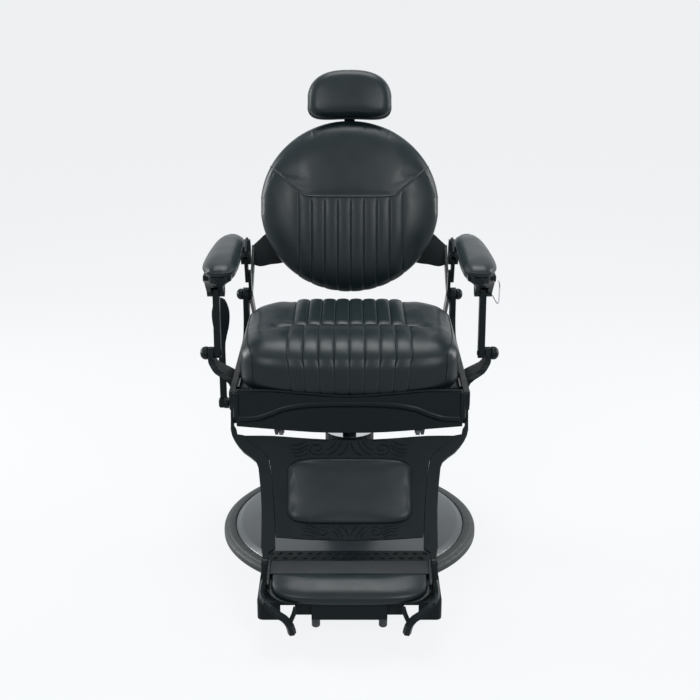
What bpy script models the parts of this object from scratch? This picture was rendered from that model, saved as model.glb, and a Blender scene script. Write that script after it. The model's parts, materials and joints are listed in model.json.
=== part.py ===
"""Hydraulic barber chair: pump base, lifting ram, swivel seat, reclining round back,
swinging leg rest with a flip-over foot bar, and armrests that follow the recline.

Run with: blender --background --python part.py
Metres, +Z up. The origin is the centre of the base plate on the floor, and the chair
faces -Y. Left and right are those of a person sitting in it, so left is +X.
"""

import math

import bmesh
import bpy
from mathutils import Matrix, Vector

# --- clearances -----------------------------------------------------------------------
FIT = 0.0003            # seam between pieces that touch
RUN = 0.0010            # clearance of pieces that turn or slide
PIVOT_PLAY = 0.0042     # play of the armrest's front pin in its fork

# --- base and lift --------------------------------------------------------------------
BASE_RADIUS = 0.350
RIM_WIDTH = 0.032
RIM_HEIGHT = 0.024
PLATE_HEIGHT = 0.046
PLATE_WALL = 0.007
FLANGE_RADIUS = 0.120
HOUSING_RADIUS = 0.066
HOUSING_TOP = 0.300
HOUSING_WALL = 0.015
BUSH_LENGTH = 0.058
GLAND_HEIGHT = 0.022
SEAL_HEIGHT = 0.005
RAM_RADIUS = 0.045
RAM_TOP = 0.400
RAM_FLANGE_RADIUS = 0.060
RAM_FLANGE_HEIGHT = 0.015
PUMP_ROD_RADIUS = 0.009
RACE_HEIGHT = 0.008
HUB_WALL = 0.016

# --- seat -----------------------------------------------------------------------------
SEAT_HALF_WIDTH = 0.278
SEAT_FRONT = -0.290
SEAT_REAR = 0.162
SEAT_TOP = 0.638
SEAT_BOARD_TOP = 0.503
SEAT_BOARD = 0.013
SIDE_FRAME_THICKNESS = 0.0155
SIDE_FRAME_TOP = 0.513
APRON_THICKNESS = 0.018

# --- recline, leg rest and armrest pivots: (y, z) in the side view ---------------------
RECLINE_PIVOT = (0.180, 0.627)
LEG_PIVOT = (-0.240, 0.437)
ARM_REAR_PIN = (0.150, 0.733)
LINK_PIVOT = (-0.130, 0.561)
ARM_FRONT_PIN = (-0.120, 0.7234)
CRANK_RADIUS = 0.140
CRANK_LEAN = math.radians(50.0)
PIN_RADIUS = 0.006

# --- back -----------------------------------------------------------------------------
BACK_FOOT = (0.200, 0.627)
BACK_LEAN = math.radians(17.0)
BACK_HALF_WIDTH = 0.252
BACK_HEIGHT = 0.483
BACK_CUSHION = 0.052
BACK_SHELL = 0.016
HEAD_HALF_WIDTH = 0.118
HEAD_HEIGHT = 0.149
HEAD_THICKNESS = 0.062

# --- armrests -------------------------------------------------------------------------
ARM_PAD_TOP = 0.826
ARM_PAD_THICKNESS = 0.034
LINK_X = 0.3365
LINK_WIDTH = 0.0165
LUG_THICKNESS = 0.015
KNOB_RADIUS = 0.017
REAR_KNOB_RADIUS = 0.0155
STROP_WIRE = 0.004

# --- leg rest and foot rest -----------------------------------------------------------
LEG_LEAN = math.radians(38.0)
LEG_HALF_WIDTH = 0.214
RAIL_WIDTH = 0.031
RAIL_THICKNESS = 0.014
RAIL_LENGTH = 0.432
PANEL_BOTTOM = 0.314
PANEL_THICKNESS = 0.006
CALF_HALF_WIDTH = 0.154
CALF_TOP = 0.113
CALF_BOTTOM = 0.279
CALF_CUSHION = 0.020
FOOT_LEAN = math.radians(74.6)
FOOT_HALF_WIDTH = 0.190
FOOT_LENGTH = 0.112
PLATFORM_HALF_WIDTH = 0.214
PLATFORM_FRONT = -0.600
PLATFORM_REAR = -0.354
PLATFORM_TOP = 0.116
PLATFORM_WALL = 0.007
PLATFORM_LIP = 0.048

# --- sewing ---------------------------------------------------------------------------
CHANNELS = 8
CHANNEL_PITCH = 0.0375
CHANNEL_DEPTH = 0.006
SEAM_WIDTH = 0.0055


# --- scene and materials --------------------------------------------------------------
def clear_scene():
    """Remove every object, so that the script can be run again."""
    for obj in list(bpy.data.objects):
        bpy.data.objects.remove(obj, do_unlink=True)
    for group in list(bpy.data.collections):
        bpy.data.collections.remove(group)


def collection(name):
    group = bpy.data.collections.new(name)
    bpy.context.scene.collection.children.link(group)
    return group


def material(name, colour, roughness, metallic=0.0):
    """A Principled BSDF with the piece's colour, roughness and metallic value."""
    mat = bpy.data.materials.get(name) or bpy.data.materials.new(name)
    mat.use_nodes = True
    shader = mat.node_tree.nodes["Principled BSDF"]
    shader.inputs["Base Color"].default_value = (*colour, 1.0)
    shader.inputs["Roughness"].default_value = roughness
    shader.inputs["Metallic"].default_value = metallic
    return mat


FINISHES = {
    "leather": ((0.018, 0.021, 0.023), 0.42, 0.0),
    "paint": ((0.008, 0.008, 0.009), 0.38, 0.2),
    "casting": ((0.012, 0.012, 0.013), 0.50, 0.3),
    "dish": ((0.045, 0.046, 0.050), 0.32, 0.6),
    "chrome": ((0.70, 0.70, 0.72), 0.08, 1.0),
    "steel": ((0.45, 0.45, 0.46), 0.30, 1.0),
    "bronze": ((0.42, 0.26, 0.11), 0.35, 1.0),
    "rubber": ((0.012, 0.012, 0.012), 0.75, 0.0),
    "wood": ((0.35, 0.22, 0.12), 0.60, 0.0),
}


def dress(obj, finish):
    """Give the object a material of its own, in one of the chair's finishes."""
    colour, roughness, metallic = FINISHES[finish]
    obj.data.materials.clear()
    obj.data.materials.append(material(f"{obj.name}_{finish}", colour, roughness, metallic))


# --- making meshes --------------------------------------------------------------------
def place(obj, matrix):
    obj.matrix_world = matrix
    bpy.context.view_layer.update()
    return obj


def new_object(name, data):
    obj = bpy.data.objects.new(name, data)
    bpy.context.scene.collection.objects.link(obj)
    return obj


def bake(obj, weld=1e-5):
    """Turn an object with modifiers, or a curve, into a plain welded mesh in world space."""
    bpy.context.view_layer.update()
    seen = obj.evaluated_get(bpy.context.evaluated_depsgraph_get())
    mesh = bpy.data.meshes.new_from_object(seen)
    mesh.transform(obj.matrix_world)
    work = bmesh.new()
    work.from_mesh(mesh)
    bmesh.ops.remove_doubles(work, verts=work.verts, dist=weld)
    work.to_mesh(mesh)
    work.free()
    baked = new_object(obj.name, mesh)
    name = obj.name
    bpy.data.objects.remove(obj, do_unlink=True)
    baked.name = name
    return baked


def combine(base, tools, operation):
    """Apply an exact Boolean of each tool to the base, and use the tools up."""
    for tool in tools:
        step = base.modifiers.new("join", "BOOLEAN")
        step.operation = operation
        step.solver = "EXACT"
        step.object = tool
        base = bake(base)
        bpy.data.objects.remove(tool, do_unlink=True)
    return base


def union(base, *tools):
    return combine(base, tools, "UNION")


def cut(base, *tools):
    return combine(base, tools, "DIFFERENCE")


def keep_common(base, *tools):
    return combine(base, tools, "INTERSECT")


def rounded(obj, width, segments=2, angle=35.0):
    """Round the edges that are sharper than the angle."""
    step = obj.modifiers.new("edges", "BEVEL")
    step.width = width
    step.segments = segments
    step.limit_method = "ANGLE"
    step.angle_limit = math.radians(angle)
    step.use_clamp_overlap = True
    return bake(obj)


def finish(obj, name, look, group, smooth=32.0):
    """Name a finished piece, shade and dress it, and put it in the chair's collection."""
    obj.name = name
    obj.data.name = name
    obj.data.shade_smooth()
    obj.data.set_sharp_from_angle(angle=math.radians(smooth))
    for old in list(obj.users_collection):
        old.objects.unlink(obj)
    group.objects.link(obj)
    dress(obj, look)
    return obj


def mirrored(obj, name):
    """A copy of the piece on the other side of the chair."""
    mesh = obj.data.copy()
    mesh.transform(Matrix.Scale(-1.0, 4, (1.0, 0.0, 0.0)))
    mesh.flip_normals()
    return new_object(name, mesh)


# --- planes of drawing ----------------------------------------------------------------
def front_plane(y, z, lean=0.0):
    """Drawing plane that leans back: local x is across, y up the plane, z out of its face."""
    up = Vector((0.0, math.sin(lean), math.cos(lean)))
    out = Vector((0.0, -math.cos(lean), math.sin(lean)))
    matrix = Matrix((Vector((1.0, 0.0, 0.0)), up, out)).transposed().to_4x4()
    matrix.translation = Vector((0.0, y, z))
    return matrix


def side_plane(x):
    """Drawing plane of the side view: local x is +Y, y is +Z, and z is +X."""
    matrix = Matrix(((0.0, 0.0, 1.0), (1.0, 0.0, 0.0), (0.0, 1.0, 0.0))).to_4x4()
    matrix.translation = Vector((x, 0.0, 0.0))
    return matrix


def top_plane(z):
    return Matrix.Translation((0.0, 0.0, z))


# --- outlines -------------------------------------------------------------------------
def arc(centre, radius, start, end, steps=6):
    """Points on an arc, from one angle in degrees to another."""
    points = []
    for i in range(steps + 1):
        angle = math.radians(start + (end - start) * i / steps)
        points.append((centre[0] + radius * math.cos(angle), centre[1] + radius * math.sin(angle)))
    return points


def smooth_run(points, steps=3):
    """A Catmull-Rom curve through the points, in two or three dimensions."""
    ends = [points[0], *points, points[-1]]
    run = []
    for i in range(1, len(ends) - 2):
        a, b, c, d = (Vector(ends[i + k]) for k in (-1, 0, 1, 2))
        for k in range(steps):
            t = k / steps
            run.append(0.5 * (2 * b + (c - a) * t + (2 * a - 5 * b + 4 * c - d) * t * t
                              + (3 * b - a - 3 * c + d) * t ** 3))
    run.append(Vector(points[-1]))
    return [tuple(p) for p in run]


def rounded_box(left, bottom, right, top, radius, steps=4):
    """A rectangle's outline with round corners, drawn anticlockwise."""
    r = radius
    return (arc((right - r, bottom + r), r, -90, 0, steps) + arc((right - r, top - r), r, 0, 90, steps)
            + arc((left + r, top - r), r, 90, 180, steps) + arc((left + r, bottom + r), r, 180, 270, steps))


def plate(name, outline, matrix, low, high, holes=()):
    """A flat outline, and any holes in it, extruded between two heights over its plane."""
    curve = bpy.data.curves.new(name, "CURVE")
    curve.dimensions = "2D"
    curve.fill_mode = "BOTH"
    curve.extrude = (high - low) / 2.0
    for ring in (outline, *holes):
        spline = curve.splines.new("POLY")
        spline.points.add(len(ring) - 1)
        for point, (x, y) in zip(spline.points, ring):
            point.co = (x, y, 0.0, 1.0)
        spline.use_cyclic_u = True
    obj = new_object(name, curve)
    place(obj, matrix @ Matrix.Translation((0.0, 0.0, (high + low) / 2.0)))
    return bake(obj, weld=2e-5)


def cylinder(name, start, end, radius, sides=18, end_radius=None):
    """A solid cylinder or cone between two points."""
    start, end = Vector(start), Vector(end)
    work = bmesh.new()
    bmesh.ops.create_cone(work, cap_ends=True, segments=sides, radius1=radius,
                          radius2=radius if end_radius is None else end_radius,
                          depth=(end - start).length)
    mesh = bpy.data.meshes.new(name)
    work.to_mesh(mesh)
    work.free()
    turn = (end - start).to_track_quat("Z", "Y").to_matrix().to_4x4()
    mesh.transform(Matrix.Translation((start + end) / 2.0) @ turn)
    return new_object(name, mesh)


def cross_bar(name, y, z, x_from, x_to, radius, sides=18):
    return cylinder(name, (x_from, y, z), (x_to, y, z), radius, sides)


def box(name, low, high):
    work = bmesh.new()
    bmesh.ops.create_cube(work, size=1.0)
    low, high = Vector(low), Vector(high)
    size, middle = high - low, (high + low) / 2.0
    for vert in work.verts:
        vert.co = Vector([vert.co[k] * size[k] + middle[k] for k in range(3)])
    mesh = bpy.data.meshes.new(name)
    work.to_mesh(mesh)
    work.free()
    return new_object(name, mesh)


def turned(name, profile, matrix=None, steps=48, closed=False):
    """A profile of (radius, height) points turned about an axis; it runs down its outer side."""
    mesh = bpy.data.meshes.new(name)
    count = len(profile)
    edges = [(i, i + 1) for i in range(count - 1)] + ([(count - 1, 0)] if closed else [])
    mesh.from_pydata([(r, 0.0, h) for r, h in profile], edges, [])
    obj = new_object(name, mesh)
    screw = obj.modifiers.new("turn", "SCREW")
    screw.axis = "Z"
    screw.steps = steps
    screw.render_steps = steps
    screw.use_merge_vertices = True
    screw.merge_threshold = 0.00005
    place(obj, matrix or Matrix.Identity(4))
    return bake(obj)


def tube(name, points, radius, resolution=2, smooth=4, taper=None):
    """A round bar along a smooth route through the points; taper gives its share of the radius at each."""
    run = smooth_run(points, smooth) if smooth else points
    shares = smooth_run([(share, 0.0) for share in taper], smooth) if taper else [(1.0, 0.0)] * len(run)
    curve = bpy.data.curves.new(name, "CURVE")
    curve.dimensions = "3D"
    curve.bevel_depth = radius
    curve.bevel_resolution = resolution
    curve.use_fill_caps = True
    spline = curve.splines.new("POLY")
    spline.points.add(len(run) - 1)
    for point, position, share in zip(spline.points, run, shares):
        point.co = (*position, 1.0)
        point.radius = share[0]
    return bake(new_object(name, curve), weld=2e-5)


def crank_pin(pivot):
    """The coupling rod's pin on a crank that hangs from the pivot and leans to the rear."""
    return (pivot[0] + CRANK_RADIUS * math.sin(CRANK_LEAN), pivot[1] - CRANK_RADIUS * math.cos(CRANK_LEAN))


# --- padding --------------------------------------------------------------------------
def cushion(name, columns, levels, height, rim, matrix, dent=None):
    """A closed padded form: a face grid, rings that roll over its sides, and a flat back.

    The face runs over the columns and, in each, over the levels; height gives its rise.
    Each ring of the rim is (spread beyond the face's edge, height). Where dent is given,
    it draws a ring in at the seams that run over the side.
    """
    work = bmesh.new()
    grid = [[work.verts.new((x, t, height(x, t))) for t in levels(x)] for x in columns]
    loop = [grid[0][k] for k in range(len(grid[0]))]
    loop += [column[-1] for column in grid[1:-1]]
    loop += [grid[-1][k] for k in reversed(range(len(grid[-1])))]
    loop += [column[0] for column in reversed(grid[1:-1])]
    for left, right in zip(grid, grid[1:]):
        for k in range(len(left) - 1):
            work.faces.new((left[k], right[k], right[k + 1], left[k + 1]))
    xs = [v.co.x for v in loop]
    ys = [v.co.y for v in loop]
    centre = Vector(((max(xs) + min(xs)) / 2.0, (max(ys) + min(ys)) / 2.0))
    half = Vector(((max(xs) - min(xs)) / 2.0, (max(ys) - min(ys)) / 2.0))
    inner = loop
    for spread, level in rim:
        ring = []
        for vert in loop:
            offset = Vector((vert.co.x, vert.co.y)) - centre
            pull = dent(vert.co.x, vert.co.y) if dent else 0.0
            grown = Vector((offset.x * (1.0 + (spread - pull) / half.x),
                            offset.y * (1.0 + (spread - pull) / half.y)))
            ring.append(work.verts.new((centre.x + grown.x, centre.y + grown.y, level)))
        for k in range(len(loop)):
            j = (k + 1) % len(loop)
            work.faces.new((inner[k], inner[j], ring[j], ring[k]))
        inner = ring
    work.faces.new(inner)
    bmesh.ops.recalc_face_normals(work, faces=work.faces)
    mesh = bpy.data.meshes.new(name)
    work.to_mesh(mesh)
    work.free()
    mesh.transform(matrix)
    return new_object(name, mesh)


def channel_columns(reach, side_columns=3):
    """Columns across a channelled face: each seam, its two shoulders and each crest."""
    columns = []
    half = CHANNELS / 2.0
    for i in range(CHANNELS + 1):
        seam = (i - half) * CHANNEL_PITCH
        columns += [seam - SEAM_WIDTH, seam, seam + SEAM_WIDTH]
        if i < CHANNELS:
            columns.append(seam + CHANNEL_PITCH / 2.0)
    last = columns[-1]
    sides = [last + (reach - last) * k / side_columns for k in range(1, side_columns + 1)]
    return [-x for x in reversed(sides)] + columns + sides


def seam_depth(x):
    """How far a channelled face is drawn in at x."""
    half = CHANNELS / 2.0
    nearest = min(abs(x - (i - half) * CHANNEL_PITCH) for i in range(CHANNELS + 1))
    return CHANNEL_DEPTH * max(0.0, 1.0 - nearest / SEAM_WIDTH)


def crest(x):
    """The rise of a channel's middle over its seams."""
    reach = CHANNELS * CHANNEL_PITCH / 2.0
    if abs(x) > reach:
        return 0.0
    return 0.0025 * abs(math.sin(math.pi * (x + reach) / CHANNEL_PITCH))


def oval(x, half_x, half_y, power=2.0):
    """Half height of an oval, or of a squared oval, at x."""
    return half_y * max(0.0, 1.0 - abs(x / half_x) ** power) ** (1.0 / power)


def spread_rows(low, high, count):
    """Rows from one edge to the other, closer together towards both edges."""
    return [low + (high - low) * 0.5 * (1.0 - math.cos(math.pi * k / count)) for k in range(count + 1)]


# --- base and lift --------------------------------------------------------------------
def make_base(group):
    plate_radius = BASE_RADIUS - RIM_WIDTH - FIT
    seat_radius = FLANGE_RADIUS + 0.008
    shoulder = plate_radius - 0.018
    drop = 0.0125
    dish = [(0.0, PLATE_HEIGHT)]
    for i in range(4):
        t = i / 3.0
        dish.append((seat_radius + (shoulder - seat_radius) * t, PLATE_HEIGHT - drop * t * t))
    boss = FLANGE_RADIUS - 0.020
    dish += [(plate_radius - 0.003, 0.0250), (plate_radius, 0.0225), (plate_radius, 0.0),
             (plate_radius - PLATE_WALL, 0.0),
             (shoulder - PLATE_WALL, PLATE_HEIGHT - drop - PLATE_WALL - 0.004),
             (boss + 0.006, PLATE_HEIGHT - PLATE_WALL), (boss, 0.0), (0.0, 0.0)]
    finish(turned("base_plate", dish, steps=32), "base_plate", "dish", group, 25)

    inner = plate_radius + FIT
    pitch = RIM_WIDTH / 3.0
    rim = [(inner, RIM_HEIGHT), (inner + 0.003, RIM_HEIGHT + 0.001)]
    for i in range(1, 3):
        edge = inner + pitch * i
        fall = 0.0016 * i
        rim += [(edge - 0.0013, RIM_HEIGHT - fall), (edge, RIM_HEIGHT - fall - 0.0022),
                (edge + 0.0013, RIM_HEIGHT - fall - 0.0004)]
    rim += [(BASE_RADIUS - 0.002, RIM_HEIGHT - 0.006), (BASE_RADIUS, RIM_HEIGHT - 0.012),
            (BASE_RADIUS, 0.0), (inner, 0.0)]
    finish(turned("base_rim", rim, steps=32, closed=True), "base_rim", "rubber", group, 25)

    foot = PLATE_HEIGHT + FIT
    bore = HOUSING_RADIUS - HOUSING_WALL
    floor = foot + 0.012
    housing = [(0.0, floor), (bore, floor), (bore, HOUSING_TOP), (HOUSING_RADIUS, HOUSING_TOP)]
    for i in range(5):
        t = i / 4.0
        housing.append((HOUSING_RADIUS + 0.030 * t ** 3, HOUSING_TOP - 0.035 - (HOUSING_TOP - 0.11) * t))
    housing += [(FLANGE_RADIUS - 0.004, foot + 0.013), (FLANGE_RADIUS, foot + 0.009),
                (FLANGE_RADIUS, foot), (0.0, foot)]
    body = turned("pump_housing", housing, steps=24)
    bolts = []
    for i in range(6):
        turn = math.radians(60 * i + 30)
        at = (0.106 * math.cos(turn), 0.106 * math.sin(turn))
        bolts.append(cylinder("bolt", (*at, foot + 0.004), (*at, foot + 0.021), 0.008, sides=6))
    plug = cylinder("plug", (0.0, HOUSING_RADIUS - 0.004, 0.200), (0.0, HOUSING_RADIUS + 0.007, 0.200),
                    0.008, 6)
    finish(union(body, *bolts, plug), "pump_housing", "casting", group)

    bush = [(RAM_RADIUS + FIT, HOUSING_TOP - FIT), (bore - FIT, HOUSING_TOP - FIT),
            (bore - FIT, HOUSING_TOP - FIT - BUSH_LENGTH),
            (RAM_RADIUS + FIT, HOUSING_TOP - FIT - BUSH_LENGTH)]
    finish(turned("guide_bush", bush, steps=24, closed=True), "guide_bush", "bronze", group)
    low = HOUSING_TOP + FIT
    top = low + GLAND_HEIGHT
    wide = HOUSING_RADIUS + 0.004
    gland = [(RAM_RADIUS + RUN, top), (wide - 0.004, top), (wide, top - 0.004), (wide, low),
             (RAM_RADIUS + RUN, low)]
    finish(turned("cylinder_gland", gland, steps=24, closed=True), "cylinder_gland", "chrome", group)
    lip = top + FIT
    seal = [(RAM_RADIUS + FIT, lip + SEAL_HEIGHT), (RAM_RADIUS + 0.003, lip + SEAL_HEIGHT),
            (RAM_RADIUS + 0.009, lip + 0.001), (RAM_RADIUS + 0.009, lip), (RAM_RADIUS + FIT, lip)]
    finish(turned("wiper_seal", seal, steps=24, closed=True), "wiper_seal", "rubber", group)


def make_ram(group):
    foot = PLATE_HEIGHT + FIT + 0.014
    bore = PUMP_ROD_RADIUS + RUN
    profile = [(0.0, 0.150), (bore, 0.150), (bore, RAM_TOP), (RAM_FLANGE_RADIUS, RAM_TOP),
               (RAM_FLANGE_RADIUS, RAM_TOP - RAM_FLANGE_HEIGHT), (RAM_RADIUS, RAM_TOP - RAM_FLANGE_HEIGHT),
               (RAM_RADIUS, foot), (0.0, foot)]
    finish(turned("ram", profile, steps=24), "ram", "chrome", group)
    low = RAM_TOP + FIT
    race = [(0.030, low + RACE_HEIGHT), (RAM_FLANGE_RADIUS - 0.002, low + RACE_HEIGHT),
            (RAM_FLANGE_RADIUS - 0.002, low), (0.030, low)]
    finish(turned("swivel_race", race, steps=24, closed=True), "swivel_race", "steel", group)


# --- seat structure -------------------------------------------------------------------
SIDE_INNER = SEAT_HALF_WIDTH + 0.002
SIDE_OUTER = SIDE_INNER + SIDE_FRAME_THICKNESS
HUB_UNDERSIDE = RAM_TOP + 2 * FIT + RACE_HEIGHT
HUB_TOP = HUB_UNDERSIDE + 0.008
BOARD_UNDERSIDE = SEAT_BOARD_TOP - SEAT_BOARD
PUMP_PIVOT = (-0.092, 0.408)
PUMP_SHAFT_RADIUS = 0.008
LUG_INNER = LINK_X + LINK_WIDTH / 2.0 + RUN
LUG_OUTER = LUG_INNER + LUG_THICKNESS
LEG_SHAFT_RADIUS = 0.0075
LEG_EYE_RADIUS = 0.023
LAP = SIDE_INNER + SIDE_FRAME_THICKNESS / 2.0


def make_spider(group):
    """The cast turntable: a cup over the ram's head and the beams that carry the seat."""
    top = BOARD_UNDERSIDE - FIT
    end = SIDE_INNER - FIT
    inner = RAM_FLANGE_RADIUS + RUN
    cup = [(PUMP_ROD_RADIUS + RUN, HUB_TOP), (inner + HUB_WALL, HUB_TOP),
           (inner + HUB_WALL, RAM_TOP - 0.028), (inner, RAM_TOP - 0.028), (inner, HUB_UNDERSIDE),
           (PUMP_ROD_RADIUS + RUN, HUB_UNDERSIDE)]
    body = turned("seat_spider", cup, steps=24, closed=True)
    under = [(-end, top - 0.034), (-0.125, top - 0.058), (-0.080, HUB_UNDERSIDE + 0.002),
             (0.080, HUB_UNDERSIDE + 0.002), (0.125, top - 0.058), (end, top - 0.034)]
    beam = plate("beam", [(end, top), (-end, top), *under], front_plane(0.0, 0.0), -0.028, 0.028)
    rails = [box("rail", (-end, -0.205, top - 0.026), (end, -0.183, top)),
             box("rail", (-end, 0.085, top - 0.014), (end, 0.113, top))]
    for side in (-1.0, 1.0):
        middle = side * 0.100
        rails.append(box("arm", (middle - 0.014, -0.255, top - 0.020), (middle + 0.014, 0.113, top)))
    body = union(body, beam, *rails)
    window = box("window", (-0.016, -0.060, HUB_TOP), (0.016, 0.026, top - 0.019))
    well = cylinder("well", (0.0, 0.0, HUB_UNDERSIDE - 0.01), (0.0, 0.0, HUB_TOP + 0.01),
                    PUMP_ROD_RADIUS + RUN, 16)
    body = cut(body, window, well)
    finish(body, "seat_spider", "casting", group)


def side_outline():
    """The side casting seen from the side: top rail, rear horn, pump boss and leg eye."""
    recline, leg = RECLINE_PIVOT, LEG_PIVOT
    front = SEAT_FRONT + 0.004
    horn = smooth_run([(0.100, SIDE_FRAME_TOP), (0.138, SIDE_FRAME_TOP + 0.010),
                       (recline[0] - 0.021, recline[1] - 0.065), (recline[0] - 0.019, recline[1])], 3)
    back = smooth_run([(recline[0] + 0.019, recline[1]), (recline[0] + 0.020, recline[1] - 0.055),
                       (recline[0] + 0.006, recline[1] - 0.125), (0.130, 0.455), (0.060, 0.437),
                       (-0.030, 0.424), (PUMP_PIVOT[0] + 0.016, PUMP_PIVOT[1] - 0.008)], 2)
    outline = [(front, SIDE_FRAME_TOP - 0.004), (front + 0.004, SIDE_FRAME_TOP)]
    outline += horn[:-1] + arc(recline, 0.019, 180, 0, 6) + back[1:]
    outline += arc(PUMP_PIVOT, 0.018, -30, -150, 6)
    outline += smooth_run([(PUMP_PIVOT[0] - 0.020, PUMP_PIVOT[1] + 0.004), (-0.165, 0.420),
                           (-0.205, 0.418)])
    outline += arc(leg, LEG_EYE_RADIUS, -80, -180, 6)
    outline += [(front + 0.012, leg[1] + 0.020), (front, leg[1] + 0.045)]
    return outline


def make_side_frames(group):
    """Side castings with an outer lug, in an S, for the armrest's front link."""
    body = plate("side_frame", side_outline(), side_plane(0.0), SIDE_INNER, SIDE_OUTER)
    band = LUG_THICKNESS
    lug_top = LINK_PIVOT[1] + 0.020
    outer = smooth_run([(SIDE_OUTER - 0.002, 0.452), (SIDE_OUTER + 0.012, 0.494),
                        (LUG_OUTER - 0.018, 0.518),
                        (LUG_OUTER - 0.003, LINK_PIVOT[1] - 0.024), (LUG_OUTER, LINK_PIVOT[1] - 0.012)], 3)
    outer = [(min(x, LUG_OUTER), z) for x, z in outer] + [(LUG_OUTER, lug_top)]
    inner = smooth_run([(LUG_INNER, LINK_PIVOT[1] - 0.016), (LUG_OUTER - 0.026, 0.528),
                        (SIDE_OUTER + 0.004, 0.508), (SIDE_INNER + 0.001, 0.490)], 3)
    inner = [(LUG_INNER, lug_top)] + [(LUG_INNER if z > 0.541 else x, z) for x, z in inner]
    ribbon = plate("lug", outer + inner + [(SIDE_INNER + 0.001, 0.452)], front_plane(0.0, 0.0), 0.090,
                   0.190)
    eye = arc(LINK_PIVOT, 0.0165, 0, 180, 6)
    flank = eye + smooth_run([(LINK_PIVOT[0] - 0.0165, LINK_PIVOT[1]), (-0.153, 0.535), (-0.172, 0.505),
                              (-0.180, 0.452)])[1:]
    flank += smooth_run([(-0.100, 0.452), (-0.102, 0.520), (LINK_PIVOT[0] + 0.0165, LINK_PIVOT[1])])[:-1]
    mask = plate("flank", flank, side_plane(0.0), SIDE_INNER - 0.002, LUG_OUTER + 0.002)
    body = union(body, keep_common(ribbon, mask))
    lap = box("lap", (LAP - FIT / 2.0, -0.400, 0.300), (SIDE_OUTER + 0.01, LEG_PIVOT[0] + 0.030,
                                                       LEG_PIVOT[1] + LEG_EYE_RADIUS + 0.003))
    bores = [cross_bar("bore", *RECLINE_PIVOT, SIDE_INNER - 0.01, SIDE_OUTER + 0.01, 0.0075 + FIT, 12),
             cross_bar("bore", *LEG_PIVOT, SIDE_INNER - 0.01, SIDE_OUTER + 0.01, LEG_SHAFT_RADIUS + RUN,
                       12),
             cross_bar("bore", *PUMP_PIVOT, SIDE_INNER - 0.01, SIDE_OUTER + 0.01, PUMP_SHAFT_RADIUS + RUN,
                       12),
             cross_bar("bore", *LINK_PIVOT, LUG_INNER - 0.01, LUG_OUTER + 0.01, PIN_RADIUS + FIT, 12)]
    body = cut(body, lap, *bores)
    other = mirrored(body, "side_frame_right")
    finish(body, "side_frame_left", "paint", group)
    finish(other, "side_frame_right", "paint", group)


def make_apron(group):
    """The pressed front apron: a bowed lower edge and a moulded ridge over a hollow face."""
    end = SIDE_INNER - FIT
    front = SEAT_FRONT + 0.006
    top = smooth_run([(end, 0.5125), (0.190, 0.5125), (0.110, 0.505), (0.0, 0.498), (-0.110, 0.505),
                      (-0.190, 0.5125), (-end, 0.5125)], 2)
    low = smooth_run([(-end, 0.420), (-0.190, 0.412), (-0.090, 0.404), (0.0, 0.402), (0.090, 0.404),
                      (0.190, 0.412), (end, 0.420)], 2)
    body = plate("apron", top + low, front_plane(front + APRON_THICKNESS, 0.0), 0.0, APRON_THICKNESS)
    ridge = smooth_run([(-end - 0.01, 0.441), (-0.222, 0.446), (-0.158, 0.471), (-0.095, 0.481),
                        (0.0, 0.482),
                        (0.095, 0.481), (0.158, 0.471), (0.222, 0.446), (end + 0.01, 0.441)], 3)
    below = [(end + 0.01, 0.380), (-end - 0.01, 0.380)]
    hollow = plate("hollow", ridge + below, front_plane(front, 0.0), -0.006, 0.020)
    body = rounded(cut(body, hollow), 0.002, 1, 50)
    finish(body, "apron", "paint", group)


def make_seat(group):
    half = SEAT_HALF_WIDTH - 0.003
    outline = rounded_box(-half, SEAT_FRONT + 0.030, half, SEAT_REAR - 0.012, 0.030, 4)
    board = plate("seat_board", outline, top_plane(0.0), BOARD_UNDERSIDE, SEAT_BOARD_TOP)
    finish(board, "seat_board", "wood", group)

    roll = 0.044
    reach = SEAT_HALF_WIDTH - roll
    middle = (SEAT_FRONT + SEAT_REAR) / 2.0
    depth = (SEAT_REAR - SEAT_FRONT) / 2.0 - roll
    tuck = -0.120
    edge_level = SEAT_TOP - 0.014

    def levels(x):
        front = middle - oval(x, reach * 1.02, depth, 7.0)
        rear = middle + oval(x, reach * 1.02, depth, 4.0)
        return spread_rows(front, tuck - 0.008, 4) + [tuck] + spread_rows(tuck + 0.008, rear, 4)

    def height(x, y):
        edge = max(abs(x) / reach, abs(y - middle) / depth)
        crown = 0.011 * (1.0 - min(1.0, edge) ** 3)
        crease = 0.008 * max(0.0, 1.0 - abs(y - tuck) / 0.007) if abs(x) < 0.18 else 0.0
        return edge_level + crown + crest(x) - seam_depth(x) - crease

    def dent(x, y):
        return seam_depth(x) if abs(y - middle) > depth * 0.9 else 0.0

    skirt = SIDE_FRAME_TOP + 0.003
    rim = [(roll * 0.55, edge_level - 0.010), (roll, edge_level - 0.045), (roll - 0.008, skirt),
           (roll - 0.030, skirt - 0.001), (roll - 0.031, SEAT_BOARD_TOP + FIT)]
    pad = cushion("seat_cushion", channel_columns(reach), levels, height, rim, top_plane(0.0), dent)
    finish(pad, "seat_cushion", "leather", group)


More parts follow.
